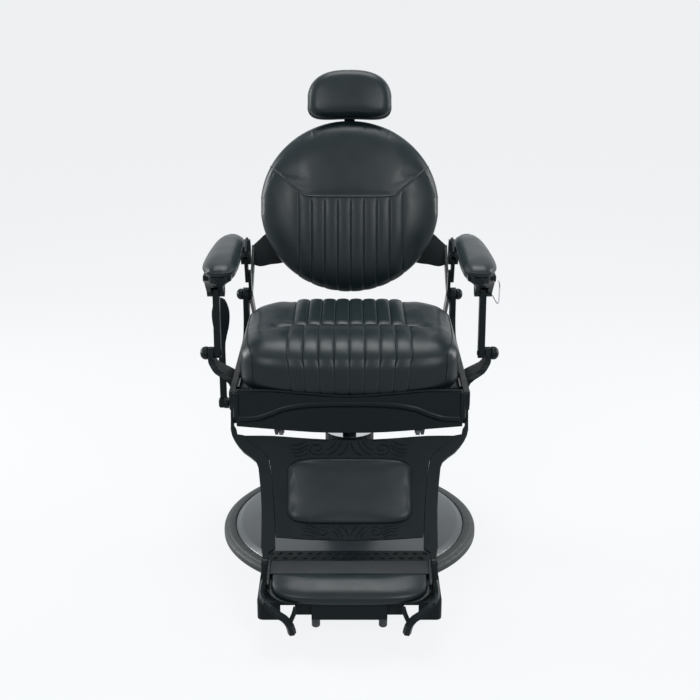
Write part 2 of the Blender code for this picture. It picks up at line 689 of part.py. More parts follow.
def knob(name, pivot, x_pin, x_face, radius, pin_radius, group):
    """A domed nut on its pivot pin; the pin runs inwards from the casting's outer face."""
    length = radius * 1.25
    profile = [(0.0, length)]
    profile += [(radius * math.sin(math.radians(a)),
                 length - radius * 0.75 * (1 - math.cos(math.radians(a))))
                for a in (35, 65, 90)]
    profile += [(radius, 0.003), (radius - 0.002, 0.0), (0.0, 0.0)]
    matrix = Matrix.Translation((x_face + FIT, *pivot)) @ Matrix.Rotation(math.radians(90), 4, "Y")
    cap = turned(name, profile, matrix, steps=16)
    pin = cross_bar("pin", *pivot, x_pin, x_face + 0.004, pin_radius, 12)
    body = union(cap, pin)
    other = mirrored(body, name + "_right")
    finish(body, name + "_left", "paint", group)
    finish(other, name + "_right", "paint", group)


def make_knobs(group):
    knob("rear_knob", RECLINE_PIVOT, SIDE_INNER - 0.0105, SIDE_OUTER, REAR_KNOB_RADIUS, 0.0075, group)
    knob("front_knob", LINK_PIVOT, LINK_X - LINK_WIDTH / 2.0 - 0.002, LUG_OUTER, KNOB_RADIUS, PIN_RADIUS,
         group)


def strap_outline(start, end, start_radius, end_radius, steps=6):
    """Outline of a link: two round eyes joined by straight sides."""
    turn = math.degrees(math.atan2(end[1] - start[1], end[0] - start[0]))
    return (arc(end, end_radius, turn - 90, turn + 90, steps)
            + arc(start, start_radius, turn + 90, turn + 270, steps))


# --- pump and hand lever ----------------------------------------------------------------
LEVER_X = -0.3404
LEVER_FOOT = (-0.002, 0.375)
LEVER_TOP = 0.670
CAM_NOSE = (0.0, 0.459)
CAM_NOSE_RADIUS = 0.007
TONGUE = 0.010


def make_pump(group):
    """The hand lever's cross shaft with its cam, and the rod that the cam presses."""
    y, z = PUMP_PIVOT
    nose = arc(CAM_NOSE, CAM_NOSE_RADIUS, -90, 90, 6)
    outline = nose + [(y - 0.006, CAM_NOSE[1] + CAM_NOSE_RADIUS), (y - 0.014, CAM_NOSE[1] - 0.002)]
    outline += arc(PUMP_PIVOT, 0.0105, 180, 340, 6)
    outline += [(y + 0.006, z + 0.010), (y + 0.006, CAM_NOSE[1] - 0.006), (y + 0.012, CAM_NOSE[1]),
                (CAM_NOSE[0] - 0.012, CAM_NOSE[1])]
    cam = plate("pump_yoke", outline, side_plane(0.0), -0.0095, 0.0095)
    outer = LEVER_X + 0.0135
    shaft = cross_bar("shaft", y, z, outer - 0.002, 0.018, PUMP_SHAFT_RADIUS)
    crank = plate("crank", strap_outline(PUMP_PIVOT, LEVER_FOOT, 0.0135, 0.0120), side_plane(0.0),
                  outer - 0.001, outer + 0.010)
    y, z = LEVER_FOOT
    fork = box("fork", (LEVER_X - 0.013, y - TONGUE - 0.002, z - 0.013),
               (outer, y + TONGUE + 0.002, z + 0.013))
    fork = rounded(fork, 0.004, 1)
    slot = box("slot", (LEVER_X - 0.03, y - TONGUE / 2.0 - FIT, z - 0.010),
               (outer - 0.003, y + TONGUE / 2.0 + FIT, z + 0.03))
    pin = cylinder("pin", (LEVER_X, y - TONGUE, z + 0.003), (LEVER_X, y + TONGUE, z + 0.003), 0.004, 16)
    body = union(cam, shaft, crank, cut(fork, slot), pin)
    finish(body, "pump_yoke", "steel", group)

    head = CAM_NOSE[1] - CAM_NOSE_RADIUS - FIT
    rod = [(0.0, head), (0.0105, head), (0.0115, head - 0.001), (0.0115, head - 0.0055),
           (PUMP_ROD_RADIUS, head - 0.0055), (PUMP_ROD_RADIUS, 0.185), (0.0, 0.185)]
    finish(turned("pump_rod", rod, steps=24), "pump_rod", "steel", group)


def make_lever(group):
    """The flat hand lever with its oval paddle."""
    y, z = LEVER_FOOT
    half = 0.009
    right = smooth_run([(half, z - 0.006), (half, z + 0.120), (half + 0.001, z + 0.170), (0.020, z + 0.212),
                        (0.0235, z + 0.245), (0.021, z + 0.268), (0.012, LEVER_TOP - 0.005),
                        (0.0, LEVER_TOP)], 2)
    outline = [(LEVER_X + x, h) for x, h in right] + [(LEVER_X - x, h) for x, h in reversed(right[:-1])]
    plane = front_plane(y, 0.0)
    bar = plate("hand_lever", outline, plane, -TONGUE / 2.0, TONGUE / 2.0)
    bore = cylinder("bore", (LEVER_X, y - 0.02, z + 0.003), (LEVER_X, y + 0.02, z + 0.003), 0.005, 16)
    foot = box("foot", (LEVER_X - 0.03, y - 0.02, 0.0), (LEVER_X + 0.03, y + 0.02, z - 0.007))
    bar = rounded(cut(bar, bore, foot), 0.0022, 1, 50)
    finish(bar, "hand_lever", "paint", group)


# --- back -------------------------------------------------------------------------------
SHELL_BACK = BACK_CUSHION + BACK_SHELL
HEAD_PIVOT = (0.548, -0.0700)
BAR_WIDTH = 0.030
BAR_THICKNESS = 0.0072
BAR_FACE = -0.0748


def back_point(s, w):
    """The (y, z) of a point in the back's own plane: s up it and w out of its face."""
    return (BACK_FOOT[0] + s * math.sin(BACK_LEAN) - w * math.cos(BACK_LEAN),
            BACK_FOOT[1] + s * math.cos(BACK_LEAN) + w * math.sin(BACK_LEAN))


def yoke_seam(x):
    """Height in the back's plane of the seam between the plain yoke and the channels."""
    bend = max(0.0, (abs(x) - 0.128) / 0.092)
    return 0.268 + 0.076 * bend ** 1.6


def make_back(group):
    plane = front_plane(*BACK_FOOT, BACK_LEAN)
    middle = BACK_HEIGHT / 2.0
    roll = 0.030
    reach = BACK_HALF_WIDTH - roll
    tall = middle - roll

    def levels(x):
        run = oval(x, reach * 1.012, tall)
        low, high = middle - run, middle + run
        seam = min(max(yoke_seam(x), low + 0.45 * (high - low)), low + 0.94 * (high - low))
        gap = min(0.0055, 0.02 * (high - low))
        below = spread_rows(low, seam - gap, 5)
        above = spread_rows(seam + gap, high, 4)
        return below + [seam] + above

    def height(x, t):
        edge = math.hypot(x / reach, (t - middle) / tall)
        crown = 0.020 * (1.0 - min(1.0, edge) ** 2.4)
        low_part = min(1.0, max(0.0, (yoke_seam(x) - t) / 0.010))
        seam = 0.0045 if abs(t - yoke_seam(x)) < 0.0012 and edge < 0.995 else 0.0
        return crown + low_part * (crest(x) - seam_depth(x)) - seam

    def dent(x, t):
        return seam_depth(x) if t < middle and abs(x) < 0.18 else 0.0

    rim = [(roll * 0.62, -0.008), (roll, -0.027), (roll * 0.94, -0.043), (roll * 0.50, -BACK_CUSHION)]
    pad = cushion("back_cushion", channel_columns(reach, 4), levels, height, rim, plane, dent)
    finish(pad, "back_cushion", "leather", group)

    edge = [(0.232 * math.cos(2 * math.pi * i / 34), middle + 0.222 * math.sin(2 * math.pi * i / 34))
            for i in range(34)]
    shell = plate("back_shell", edge, plane, -SHELL_BACK, -BACK_CUSHION - FIT)
    finish(rounded(shell, 0.006, 1, 60), "back_shell", "paint", group)


def make_back_brackets(group):
    """Cast wings that carry the back on the recline pins, with cranks for the leg rest."""
    outer = SIDE_INNER - RUN
    inner = outer - 0.008
    plane = side_plane(0.0)
    crank = plate("bracket", strap_outline(RECLINE_PIVOT, crank_pin(RECLINE_PIVOT), 0.016, 0.013),
                  plane, inner, outer)
    tip, root = back_point(0.135, -SHELL_BACK - 0.003), back_point(0.078, -SHELL_BACK - 0.008)
    y, z = RECLINE_PIVOT
    over = smooth_run([(y, z + 0.016), (y + 0.045, z + 0.034), (y + 0.085, z + 0.070), tip])
    under = smooth_run([root, (y + 0.080, z + 0.028), (y + 0.045, z + 0.002), (y + 0.010, z - 0.012)])
    arm = plate("arm", over + under, plane, inner, outer)
    step = [tuple(a + (b - a) * t for a, b in zip(RECLINE_PIVOT, ARM_REAR_PIN)) for t in (0.44, 0.62)]
    low_link = plate("low", strap_outline(RECLINE_PIVOT, step[1], 0.011, 0.0095), plane, inner, outer)
    high_link = plate("high", strap_outline(step[0], ARM_REAR_PIN, 0.0095, 0.0120), plane,
                      outer - 0.001, outer + 0.0085)
    edge = SHELL_BACK + FIT
    wing_top = smooth_run([(outer, 0.131), (0.258, 0.150), (0.239, 0.167), (0.200, 0.190), (0.150, 0.205)])
    wing_low = smooth_run([(0.150, 0.095), (0.199, 0.083), (0.225, 0.080), (0.256, 0.074), (outer, 0.082)])
    wing = plate("wing", wing_top + wing_low, front_plane(*BACK_FOOT, BACK_LEAN), -edge - 0.0075, -edge)
    body = union(crank, arm, low_link, high_link, wing)
    body = cut(body, cross_bar("bore", *RECLINE_PIVOT, inner - 0.01, outer + 0.01, 0.0075 + RUN, 12),
               cross_bar("bore", *crank_pin(RECLINE_PIVOT), inner - 0.01, outer + 0.01, 0.008 + FIT, 12),
               cross_bar("bore", *ARM_REAR_PIN, inner - 0.01, outer + 0.02, 0.005 + RUN, 12))
    other = mirrored(body, "back_bracket_right")
    finish(body, "back_bracket_left", "paint", group)
    finish(other, "back_bracket_right", "paint", group)
    tie = cross_bar("back_tie_bar", *crank_pin(RECLINE_PIVOT), -outer, outer, 0.008, 14)
    finish(tie, "back_tie_bar", "steel", group)


def make_headrest(group):
    plane = front_plane(*BACK_FOOT, BACK_LEAN)
    low_w, high_w = BAR_FACE - BAR_THICKNESS, BAR_FACE
    half = BAR_WIDTH / 2.0
    block = plate("headrest_socket", rounded_box(-0.031, 0.335, 0.031, 0.425, 0.008, 3), plane,
                  low_w - 0.007, -SHELL_BACK - FIT)
    slot = plate("slot", rounded_box(-half - 0.0005, 0.20, half + 0.0005, 0.60, 0.0004, 1), plane,
                 low_w - 0.0005, high_w + 0.0005)
    finish(cut(block, slot), "headrest_socket", "paint", group)

    t, w = HEAD_PIVOT
    bar = plate("headrest_bar", rounded_box(-half, 0.262, half, 0.536, 0.004, 2), plane, low_w, high_w)
    notches = []
    for i in range(6):
        at = 0.285 + 0.022 * i
        notch = cylinder("notch", plane @ Vector((half, at, low_w - 0.01)),
                         plane @ Vector((half, at, high_w + 0.01)), 0.0028, 6)
        notches.append(notch)
    bar = cut(bar, *notches)
    y, z = back_point(t, w)
    ears = []
    for side in (-1.0, 1.0):
        near, far = sorted((side * 0.0120, side * 0.0180))
        ears.append(cross_bar("ear", y, z, near, far, 0.0085, 20))
        ears.append(plate("neck", rounded_box(near, 0.520, far, t, 0.001, 1), plane, low_w, w + 0.004))
    pin = cross_bar("pin", y, z, -0.0175, 0.0175, 0.004, 14)
    finish(union(bar, *ears, pin), "headrest_bar", "chrome", group)

    roll = 0.020
    reach = HEAD_HALF_WIDTH - roll
    waist = 0.530
    front = 0.014
    back = front - HEAD_THICKNESS

    def levels(x):
        high = waist + oval(x, reach * 1.02, HEAD_HEIGHT * 0.615 - roll, 2.8)
        low = waist - oval(x, reach * 1.02, HEAD_HEIGHT * 0.313 - roll * 0.6,
                           4.0) + 0.011 * (1 - (x / reach) ** 2)
        return spread_rows(low, high, 7)

    def height(x, h):
        edge = max(abs(x) / reach, abs(h - 0.548) / 0.055)
        return front - 0.012 + 0.012 * (1.0 - min(1.0, edge) ** 2.5)

    rim = [(roll * 0.5, front - 0.018), (roll * 0.9, front - 0.030), (roll, front - 0.042),
           (roll * 0.96, back + 0.006), (roll * 0.7, back)]
    columns = spread_rows(-reach, reach, 12)
    pad = cushion("headrest_cushion", columns, levels, height, rim, plane)
    finish(pad, "headrest_cushion", "leather", group)

    shield = plate("headrest_plate", rounded_box(-0.075, 0.515, 0.075, 0.590, 0.020, 4), plane,
                   back - 0.006, back - FIT)
    knuckle = cross_bar("knuckle", y, z, -0.0113, 0.0113, 0.0080, 14)
    web = plate("web", rounded_box(-0.0113, t - 0.008, 0.0113, t + 0.008, 0.001, 1), plane, w, back - 0.004)
    hinge = cut(union(knuckle, web), cross_bar("bore", y, z, -0.02, 0.02, 0.005, 14))
    finish(union(shield, hinge), "headrest_plate", "paint", group)


# --- armrests ---------------------------------------------------------------------------
ARM_PLAN = ((-0.243, 0.312, 0.326), (-0.232, 0.299, 0.340), (-0.208, 0.287, 0.3535),
            (-0.165, 0.2805, 0.360), (-0.100, 0.278, 0.3605), (-0.030, 0.2785, 0.3565),
            (0.035, 0.2815, 0.3495), (0.085, 0.287, 0.3385), (0.118, 0.295, 0.326), (0.132, 0.304, 0.314))


def arm_edge(y, side):
    """Inner (1) or outer (2) edge of the armrest's plan at y."""
    for low, high in zip(ARM_PLAN, ARM_PLAN[1:]):
        if y <= high[0] + 1e-9:
            t = (y - low[0]) / (high[0] - low[0])
            return low[side] + (high[side] - low[side]) * t
    return ARM_PLAN[-1][side]


def make_armrests(group):
    turn = Matrix(((0.0, -1.0, 0.0), (1.0, 0.0, 0.0), (0.0, 0.0, 1.0))).to_4x4()
    base = ARM_PAD_TOP - ARM_PAD_THICKNESS
    seam = 0.007

    def levels(y):
        inner, outer = arm_edge(y, 1), arm_edge(y, 2)
        inset = min(seam, 0.30 * (outer - inner))
        return [-value for value in reversed(spread_rows(inner + inset, outer - inset, 5))]

    def height(y, x):
        inner, outer = arm_edge(y, 1), arm_edge(y, 2)
        across = abs((-x - (inner + outer) / 2.0) / ((outer - inner) / 2.0))
        along = abs((y + 0.055) / 0.19)
        return ARM_PAD_TOP - 0.011 * min(1.0, across) ** 2.2 - 0.006 * min(1.0, along) ** 4

    columns = [-0.238, -0.226, -0.205, -0.165, -0.110, -0.050, 0.010, 0.060, 0.100, 0.122, 0.128]
    rim = [(seam * 0.7, ARM_PAD_TOP - 0.0175), (seam, ARM_PAD_TOP - 0.024), (seam * 0.8, base + 0.003),
           (seam * 0.3, base + FIT)]
    pad = cushion("armrest_pad", columns, levels, height, rim, turn)
    other = mirrored(pad, "armrest_pad_right")
    finish(pad, "armrest_pad_left", "leather", group)
    finish(other, "armrest_pad_right", "leather", group)

    inset = 0.003
    outline = [(row[1] + inset, row[0]) for row in ARM_PLAN] + [(row[2] - inset, row[0])
                                                               for row in reversed(ARM_PLAN)]
    tray = rounded(plate("tray", outline, top_plane(0.0), base - 0.020, base), 0.006, 1, 60)
    y, z = ARM_FRONT_PIN
    prong = (LINK_X - LINK_WIDTH / 2.0 - 0.0135, LINK_X + LINK_WIDTH / 2.0 + 0.0135)
    front = [(0.288, base - 0.016), (prong[0], z + 0.022), (prong[0], z - 0.02), (prong[1], z - 0.02),
             (prong[1], z + 0.026), (0.3565, base - 0.016), (0.3565, base - 0.004), (0.288, base - 0.004)]
    boss = plate("boss", front, front_plane(0.0, 0.0), 0.06, 0.23)
    flank = arc(ARM_FRONT_PIN, 0.0150, 180, 360, 6) + smooth_run(
        [(y + 0.0150, z), (y + 0.024, z + 0.026), (y + 0.060, base - 0.014)])[1:]
    flank += [(y + 0.060, base - 0.004), (-0.215, base - 0.004)]
    flank += smooth_run([(-0.215, base - 0.016), (-0.176, z + 0.034), (y - 0.0150, z)])[:-1]
    mask = plate("mask", flank, side_plane(0.0), 0.26, 0.38)
    boss = keep_common(boss, mask)
    rear_y, rear_z = ARM_REAR_PIN
    link = (SIDE_INNER - RUN - 0.001, SIDE_INNER - RUN + 0.0085)
    rear = arc(ARM_REAR_PIN, 0.0130, 180, 360, 6) + [(rear_y + 0.014, base - 0.026), (0.150, base - 0.001),
                                                      (0.060, base - 0.001), (0.060, base - 0.016)]
    rear += smooth_run([(0.096, base - 0.022), (0.124, rear_z + 0.018), (rear_y - 0.0130, rear_z)])[:-1]
    clevis = plate("clevis", rear, side_plane(0.0), link[0] - 0.0085, link[1] + 0.0085)
    horn = plate("horn", [(0.020, base - 0.010), (0.020, base - 0.002), (0.075, base + 0.019),
                          (0.088, base + 0.019),
                          (0.125, base - 0.002), (0.125, base - 0.010)], side_plane(0.0),
                 link[0] - 0.0080, link[0] - 0.0020)
    body = union(tray, boss, clevis, horn)
    slots = [box("slot", (LINK_X - LINK_WIDTH / 2.0 - RUN, y - 0.05, z - 0.04),
                 (LINK_X + LINK_WIDTH / 2.0 + RUN, y + 0.05, z + 0.0125 + PIVOT_PLAY + 0.002)),
             box("slot", (link[0] - RUN, rear_y - 0.05, rear_z - 0.03),
                 (link[1] + RUN, rear_y + 0.05, rear_z + 0.0145)),
             cross_bar("bore", y, z, 0.26, 0.40, PIN_RADIUS + PIVOT_PLAY, 12)]
    body = cut(body, *slots)
    pin = cross_bar("pin", rear_y, rear_z, link[0] - 0.006, link[1] + 0.006, 0.005, 12)
    body = union(body, pin)
    other = mirrored(body, "armrest_casting_right")
    finish(body, "armrest_casting_left", "paint", group)
    finish(other, "armrest_casting_right", "paint", group)

    face = prong[1] + FIT
    route = [(face, y, 0.7505), (face + 0.006, y, 0.7505), (face + 0.016, y, 0.7480),
             (face + 0.0195, y, 0.740),
             (face + 0.019, y, 0.700), (face + 0.016, y, 0.6905), (face + 0.008, y, 0.703),
             (face, y, 0.7165)]
    strop = tube("strop_loop", route, STROP_WIRE / 2.0, 1, 3)
    finish(strop, "strop_loop", "steel", group)


def make_front_links(group):
    low, high = LINK_X - LINK_WIDTH / 2.0, LINK_X + LINK_WIDTH / 2.0
    link = plate("front_link", strap_outline(LINK_PIVOT, ARM_FRONT_PIN, 0.0135, 0.0115), side_plane(0.0),
                 low, high)
    link = cut(link, cross_bar("bore", *LINK_PIVOT, low - 0.01, high + 0.01, PIN_RADIUS + RUN, 12))
    link = rounded(link, 0.002, 1, 60)
    pin = cross_bar("pin", *ARM_FRONT_PIN, low - 0.0125, high + 0.0125, PIN_RADIUS, 12)
    body = union(link, pin)
    other = mirrored(body, "front_link_right")
    finish(body, "front_link_left", "paint", group)
    finish(other, "front_link_right", "paint", group)


# --- leg rest ---------------------------------------------------------------------------
FOOT_PIVOT_ALONG = -0.375
FOOT_PIVOT_OUT = 0.020
KNUCKLE_INNER = FOOT_HALF_WIDTH + 0.0045
KNUCKLE_OUTER = KNUCKLE_INNER + 0.015


def leg_point(s, w):
    """The (y, z) of a point in the leg rest's plane: s up it and w out of its face."""
    return (LEG_PIVOT[0] + s * math.sin(LEG_LEAN) - w * math.cos(LEG_LEAN),
            LEG_PIVOT[1] + s * math.cos(LEG_LEAN) + w * math.sin(LEG_LEAN))


def rail_outer():
    return [(SIDE_OUTER, 0.0), (SIDE_OUTER, -0.042), (0.285, -0.070), (0.261, -0.100), (0.230, -0.124),
            (LEG_HALF_WIDTH + 0.0075, -0.160), (LEG_HALF_WIDTH, -0.240), (LEG_HALF_WIDTH - 0.001, -0.335)]


def rail_inner():
    """Inner edge of a rail, which the calf panel also follows."""
    side = LEG_HALF_WIDTH - RAIL_WIDTH
    return [(0.261, -0.0565), (0.240, -0.078), (0.207, -0.103), (side + 0.012, -0.135),
            (side + 0.0075, -0.168), (side, -0.250), (side - 0.004, -0.335)]


def make_rails(group):
    """Leg rails: a lapped pivot eye, an S, a knuckle for the foot bar and a toe horn."""
    plane = front_plane(*LEG_PIVOT, LEG_LEAN)
    lap = LAP + FIT / 2.0
    neck = [(lap, 0.0), (lap, -0.030), (SIDE_INNER + 0.0015, -0.040), (SIDE_INNER - 0.001, -0.0535)]
    low = -RAIL_LENGTH
    outline = smooth_run(rail_outer(), 2)
    outline += [(KNUCKLE_OUTER, -0.350), (KNUCKLE_OUTER, low), (KNUCKLE_INNER, low),
                (KNUCKLE_INNER, -0.3475), (rail_inner()[-1][0], -0.3375)]
    outline += list(reversed(smooth_run(rail_inner(), 2))) + list(reversed(neck))
    half = RAIL_THICKNESS / 2.0
    strip = plate("rail", outline, plane, -half, half)
    eye = cross_bar("eye", *LEG_PIVOT, lap, SIDE_OUTER, LEG_EYE_RADIUS - 0.001, 18)
    pivot = leg_point(FOOT_PIVOT_ALONG, FOOT_PIVOT_OUT)
    stop = leg_point(FOOT_PIVOT_ALONG - 0.034, 0.013)
    knuckle = plate("knuckle", strap_outline(pivot, stop, 0.0125, 0.0115), side_plane(0.0),
                    KNUCKLE_INNER, KNUCKLE_OUTER)
    back = leg_point(FOOT_PIVOT_ALONG, 0.0)
    brace = plate("brace", strap_outline(pivot, back, 0.010, 0.0073, 4), side_plane(0.0),
                  KNUCKLE_INNER + 0.0004, KNUCKLE_OUTER - 0.0004)
    bolt = cross_bar("bolt", *stop, KNUCKLE_OUTER - 0.002, KNUCKLE_OUTER + 0.003, 0.005, 6)
    slim, full = 0.0075, 0.0102
    rest = PLATFORM_TOP + FIT
    middle = (KNUCKLE_INNER + KNUCKLE_OUTER) / 2.0
    path = [(middle, stop[0], stop[1] - 0.004, slim), (middle + 0.0005, -0.535, rest + slim + 0.003, slim),
            (middle + 0.0005, -0.582, rest + slim, slim), (0.192, -0.6160, rest + 0.006, 0.0088),
            (0.171, -0.6275, 0.105, full), (0.150, -0.6290, 0.091, full), (0.1370, -0.6280, 0.072, full),
            (0.1325, -0.6220, 0.048, full)]
    horn = tube("horn", [point[:3] for point in path], full, 1, 2, [point[3] / full for point in path])
    branch = tube("branch", [(0.1370, -0.6240, 0.076), (0.1280, -0.6190, 0.096), (0.1235, -0.6110, 0.1105)],
                  0.0055, 1, 3)
    body = union(strip, eye, knuckle, brace, bolt, horn, branch)
    seat = box("seat", (0.0, -1.0, -1.0), (0.25, PLATFORM_FRONT - 0.0025, PLATFORM_TOP + FIT))
    seat.location.y = PLATFORM_FRONT - 0.0025 + 1.0
    body = cut(body, bake(seat),
               cross_bar("bore", *LEG_PIVOT, lap - 0.01, SIDE_OUTER + 0.01, LEG_SHAFT_RADIUS + FIT, 12),
               cross_bar("bore", *pivot, KNUCKLE_INNER - 0.01, KNUCKLE_OUTER + 0.01, 0.005, 12))
    other = mirrored(body, "leg_rail_right")
    finish(body, "leg_rail_left", "paint", group)
    finish(other, "leg_rail_right", "paint", group)


def make_calf(group):
    plane = front_plane(*LEG_PIVOT, LEG_LEAN)
    side = [(x - FIT, s) for x, s in smooth_run(rail_inner(), 2) if s > -PANEL_BOTTOM + 0.006]
    side.append((side[-1][0] - 0.002, -PANEL_BOTTOM + 0.004))
    top = smooth_run([(-side[0][0], side[0][1]), (-0.190, -0.057), (-0.095, -0.064), (0.0, -0.0675),
                      (0.095, -0.064), (0.190, -0.057), (side[0][0], side[0][1])], 3)
    low = [(-x, s) for x, s in reversed(side)]
    bottom = smooth_run([side[-1], (0.090, -PANEL_BOTTOM - 0.002), (0.0, -PANEL_BOTTOM - 0.003),
                         (-0.090, -PANEL_BOTTOM - 0.002), low[0]], 3)
    face = PANEL_THICKNESS / 2.0 + 0.001
    panel = plate("calf_panel", top[:-1] + side + bottom[1:-1] + low[:-1], plane, face - PANEL_THICKNESS,
                  face)
    finish(panel, "calf_panel", "paint", group)

    roll = 0.010
    reach = CALF_HALF_WIDTH - roll
    middle = -(CALF_TOP + CALF_BOTTOM) / 2.0
    tall = (CALF_BOTTOM - CALF_TOP) / 2.0 - roll

    def levels(x):
        run = oval(x, reach * 1.01, tall, 7.0)
        return spread_rows(middle - run, middle + run, 7)

    def height(x, s):
        edge = max(abs(x) / reach, abs(s - middle) / tall)
        return face + CALF_CUSHION - 0.008 + 0.008 * (1.0 - min(1.0, edge) ** 2.5)

    rim = [(roll * 0.7, face + CALF_CUSHION * 0.45), (roll, face + CALF_CUSHION * 0.22),
           (roll * 0.8, face + FIT)]
    pad = cushion("calf_cushion", spread_rows(-reach, reach, 12), levels, height, rim, plane)
    finish(pad, "calf_cushion", "leather", group)


def make_leg_shaft(group):
    """The leg rest's pivot shaft with the two cranks that the coupling rods push."""
    pin_y, pin_z = crank_pin(LEG_PIVOT)
    body = cross_bar("leg_shaft", *LEG_PIVOT, -SIDE_OUTER, SIDE_OUTER, LEG_SHAFT_RADIUS, 14)
    arms = []
    for side in (-1.0, 1.0):
        near, far = sorted((side * 0.186, side * 0.194))
        arms.append(plate("crank", strap_outline(LEG_PIVOT, (pin_y, pin_z), 0.015, 0.011),
                          side_plane(0.0), near, far))
        near, far = sorted((side * 0.170, side * 0.188))
        arms.append(cross_bar("pin", pin_y, pin_z, near, far, PIN_RADIUS, 12))
    finish(union(body, *arms), "leg_shaft", "steel", group)


def make_coupling_rods(group):
    """Rods from the back's tie bar to the leg rest's cranks; they splay towards the front."""
    rear, front = crank_pin(RECLINE_PIVOT), crank_pin(LEG_PIVOT)
    rod = tube("coupling_rod", [(0.140, *rear), (0.178, *front)], 0.0042, 2, 0)
    eyes = [cross_bar("eye", *rear, 0.134, 0.146, 0.0130, 14),
            cross_bar("eye", *front, 0.1725, 0.1835, 0.0115, 14)]
    body = union(rod, *eyes)
    body = cut(body, cross_bar("bore", *rear, 0.12, 0.16, 0.008 + RUN, 12),
               cross_bar("bore", *front, 0.16, 0.20, PIN_RADIUS + RUN + 0.0005, 12))
    other = mirrored(body, "coupling_rod_right")
    finish(body, "coupling_rod_left", "steel", group)
    finish(other, "coupling_rod_right", "steel", group)


def make_platform(group):
    """The cast foot platform: a tray with a notched front lip, and its rubber feet."""
    half = PLATFORM_HALF_WIDTH
    wall = PLATFORM_WALL
    under = PLATFORM_TOP - PLATFORM_LIP
    outline = rounded_box(-half, PLATFORM_FRONT, half, PLATFORM_REAR, 0.012, 3)
    body = plate("platform", outline, top_plane(0.0), under, PLATFORM_TOP)
    body = rounded(body, 0.0025, 1, 60)
    hollow = box("hollow", (-half + wall, PLATFORM_FRONT + wall, under - 0.01),
                 (half - wall, PLATFORM_REAR - wall, PLATFORM_TOP - wall))
    slope = plate("slope", [(PLATFORM_FRONT + 0.030, under - 0.001),
                            (PLATFORM_REAR + 0.01, PLATFORM_TOP - 0.014),
                            (PLATFORM_REAR + 0.01, under - 0.02), (PLATFORM_FRONT + 0.030, under - 0.02)],
                  side_plane(0.0), -0.3, 0.3)
    body = cut(body, hollow, slope)
    foot = 0.0105
    notches, lugs, feet = [], [], []
    for side in (-1.0, 1.0):
        near, far = sorted((side * 0.088, side * 0.160))
        notches.append(box("notch", (near, PLATFORM_FRONT - 0.01, under - 0.01),
                           (far, PLATFORM_FRONT + wall + 0.001, PLATFORM_TOP - wall - 0.001)))
        near, far = sorted((side * 0.064, side * 0.127))
        lugs.append(rounded(box("lug", (near, PLATFORM_FRONT + 0.011, under + 0.006),
                                (far, PLATFORM_FRONT + 0.050, PLATFORM_TOP - 0.002)), 0.004, 2))
        at = (side * 0.079, PLATFORM_FRONT + 0.036)
        feet.append(cylinder("foot", (*at, 0.031), (*at, under + 0.006 - FIT), foot * 0.94, 16, foot))
    body = union(cut(body, *notches), *lugs)
    finish(body, "foot_platform", "casting", group)
    for rubber, name in zip(feet, ("platform_foot_right", "platform_foot_left")):
        finish(rounded(rubber, 0.002, 1, 60), name, "rubber", group)


def make_foot_bar(group):
    """The flip-over foot bar: a pressed steel channel on pins, and its pad."""
    plane = front_plane(*leg_point(FOOT_PIVOT_ALONG, FOOT_PIVOT_OUT), FOOT_LEAN)
    half = FOOT_HALF_WIDTH + 0.0025
    rear, split, end = -0.0036, -0.047, -0.0036 - FOOT_LENGTH - 0.012
    floor, top = -0.0035, 0.018
    corner = 0.055
    outline = [(half, rear), (-half, rear)] + arc((-half + corner, end + corner), corner, 180, 270, 5)
    outline += arc((half - corner, end + corner), corner, 270, 360, 5)
    body = plate("foot_bar", outline, plane, floor, top)
    inner, seat = half - 0.006, floor + 0.0045
    recess = plate("recess", [(-inner, end - 0.02), (inner, end - 0.02), (inner, split), (-inner, split)],
                   plane, seat, top + 0.01)
    front = plate("front", [(-0.3, end - 0.03), (0.3, end - 0.03), (0.3, split - 0.040),
                            (-0.3, split - 0.040)],
                  plane, seat, top + 0.012)
    strip = plate("strip", [(-inner, split), (inner, split), (inner, rear + 0.01), (-inner, rear + 0.01)],
                  plane, 0.0125, top + 0.014)
    body = cut(body, recess, front, strip)
    pivot = leg_point(FOOT_PIVOT_ALONG, FOOT_PIVOT_OUT)
    parts = []
    for side in (-1.0, 1.0):
        near, far = sorted((side * (half - 0.0055), side * (half - 0.0004)))
        parts.append(cross_bar("ear", *pivot, near, far, 0.009, 14))
        near, far = sorted((side * (half - 0.004), side * (KNUCKLE_OUTER - 0.001)))
        parts.append(cross_bar("pin", *pivot, near, far, 0.004, 12))
    body = union(body, *parts)
    finish(body, "foot_bar", "paint", group)

    roll = 0.009
    reach = half - 0.0065 - roll
    low, high = end - 0.010 + roll, split - FIT - roll
    depth = (high - low) / 2.0
    middle = (high + low) / 2.0

    def levels(x):
        drop = oval(x, reach * 1.01, 2 * depth, 3.6)
        return spread_rows(high - max(drop, 0.012), high, 6)

    def height(x, s):
        edge = max(abs(x) / reach, abs(s - middle) / depth)
        return 0.0125 + 0.007 * (1.0 - min(1.0, edge) ** 2.5)

    rim = [(roll * 0.7, 0.0080), (roll, 0.0045), (roll * 0.85, floor + 0.0045 + FIT)]
    pad = cushion("foot_bar_pad", spread_rows(-reach, reach, 14), levels, height, rim, plane)
    finish(pad, "foot_bar_pad", "leather", group)


def main():
    clear_scene()
    chair = collection("hydraulic_barber_chair")
    for make in (make_base, make_ram, make_spider, make_side_frames, make_apron, make_seat, make_knobs,
                 make_pump, make_lever, make_back, make_back_brackets, make_headrest, make_armrests,
                 make_front_links, make_rails, make_calf, make_leg_shaft, make_coupling_rods,
                 make_platform, make_foot_bar):
        make(chair)


main()
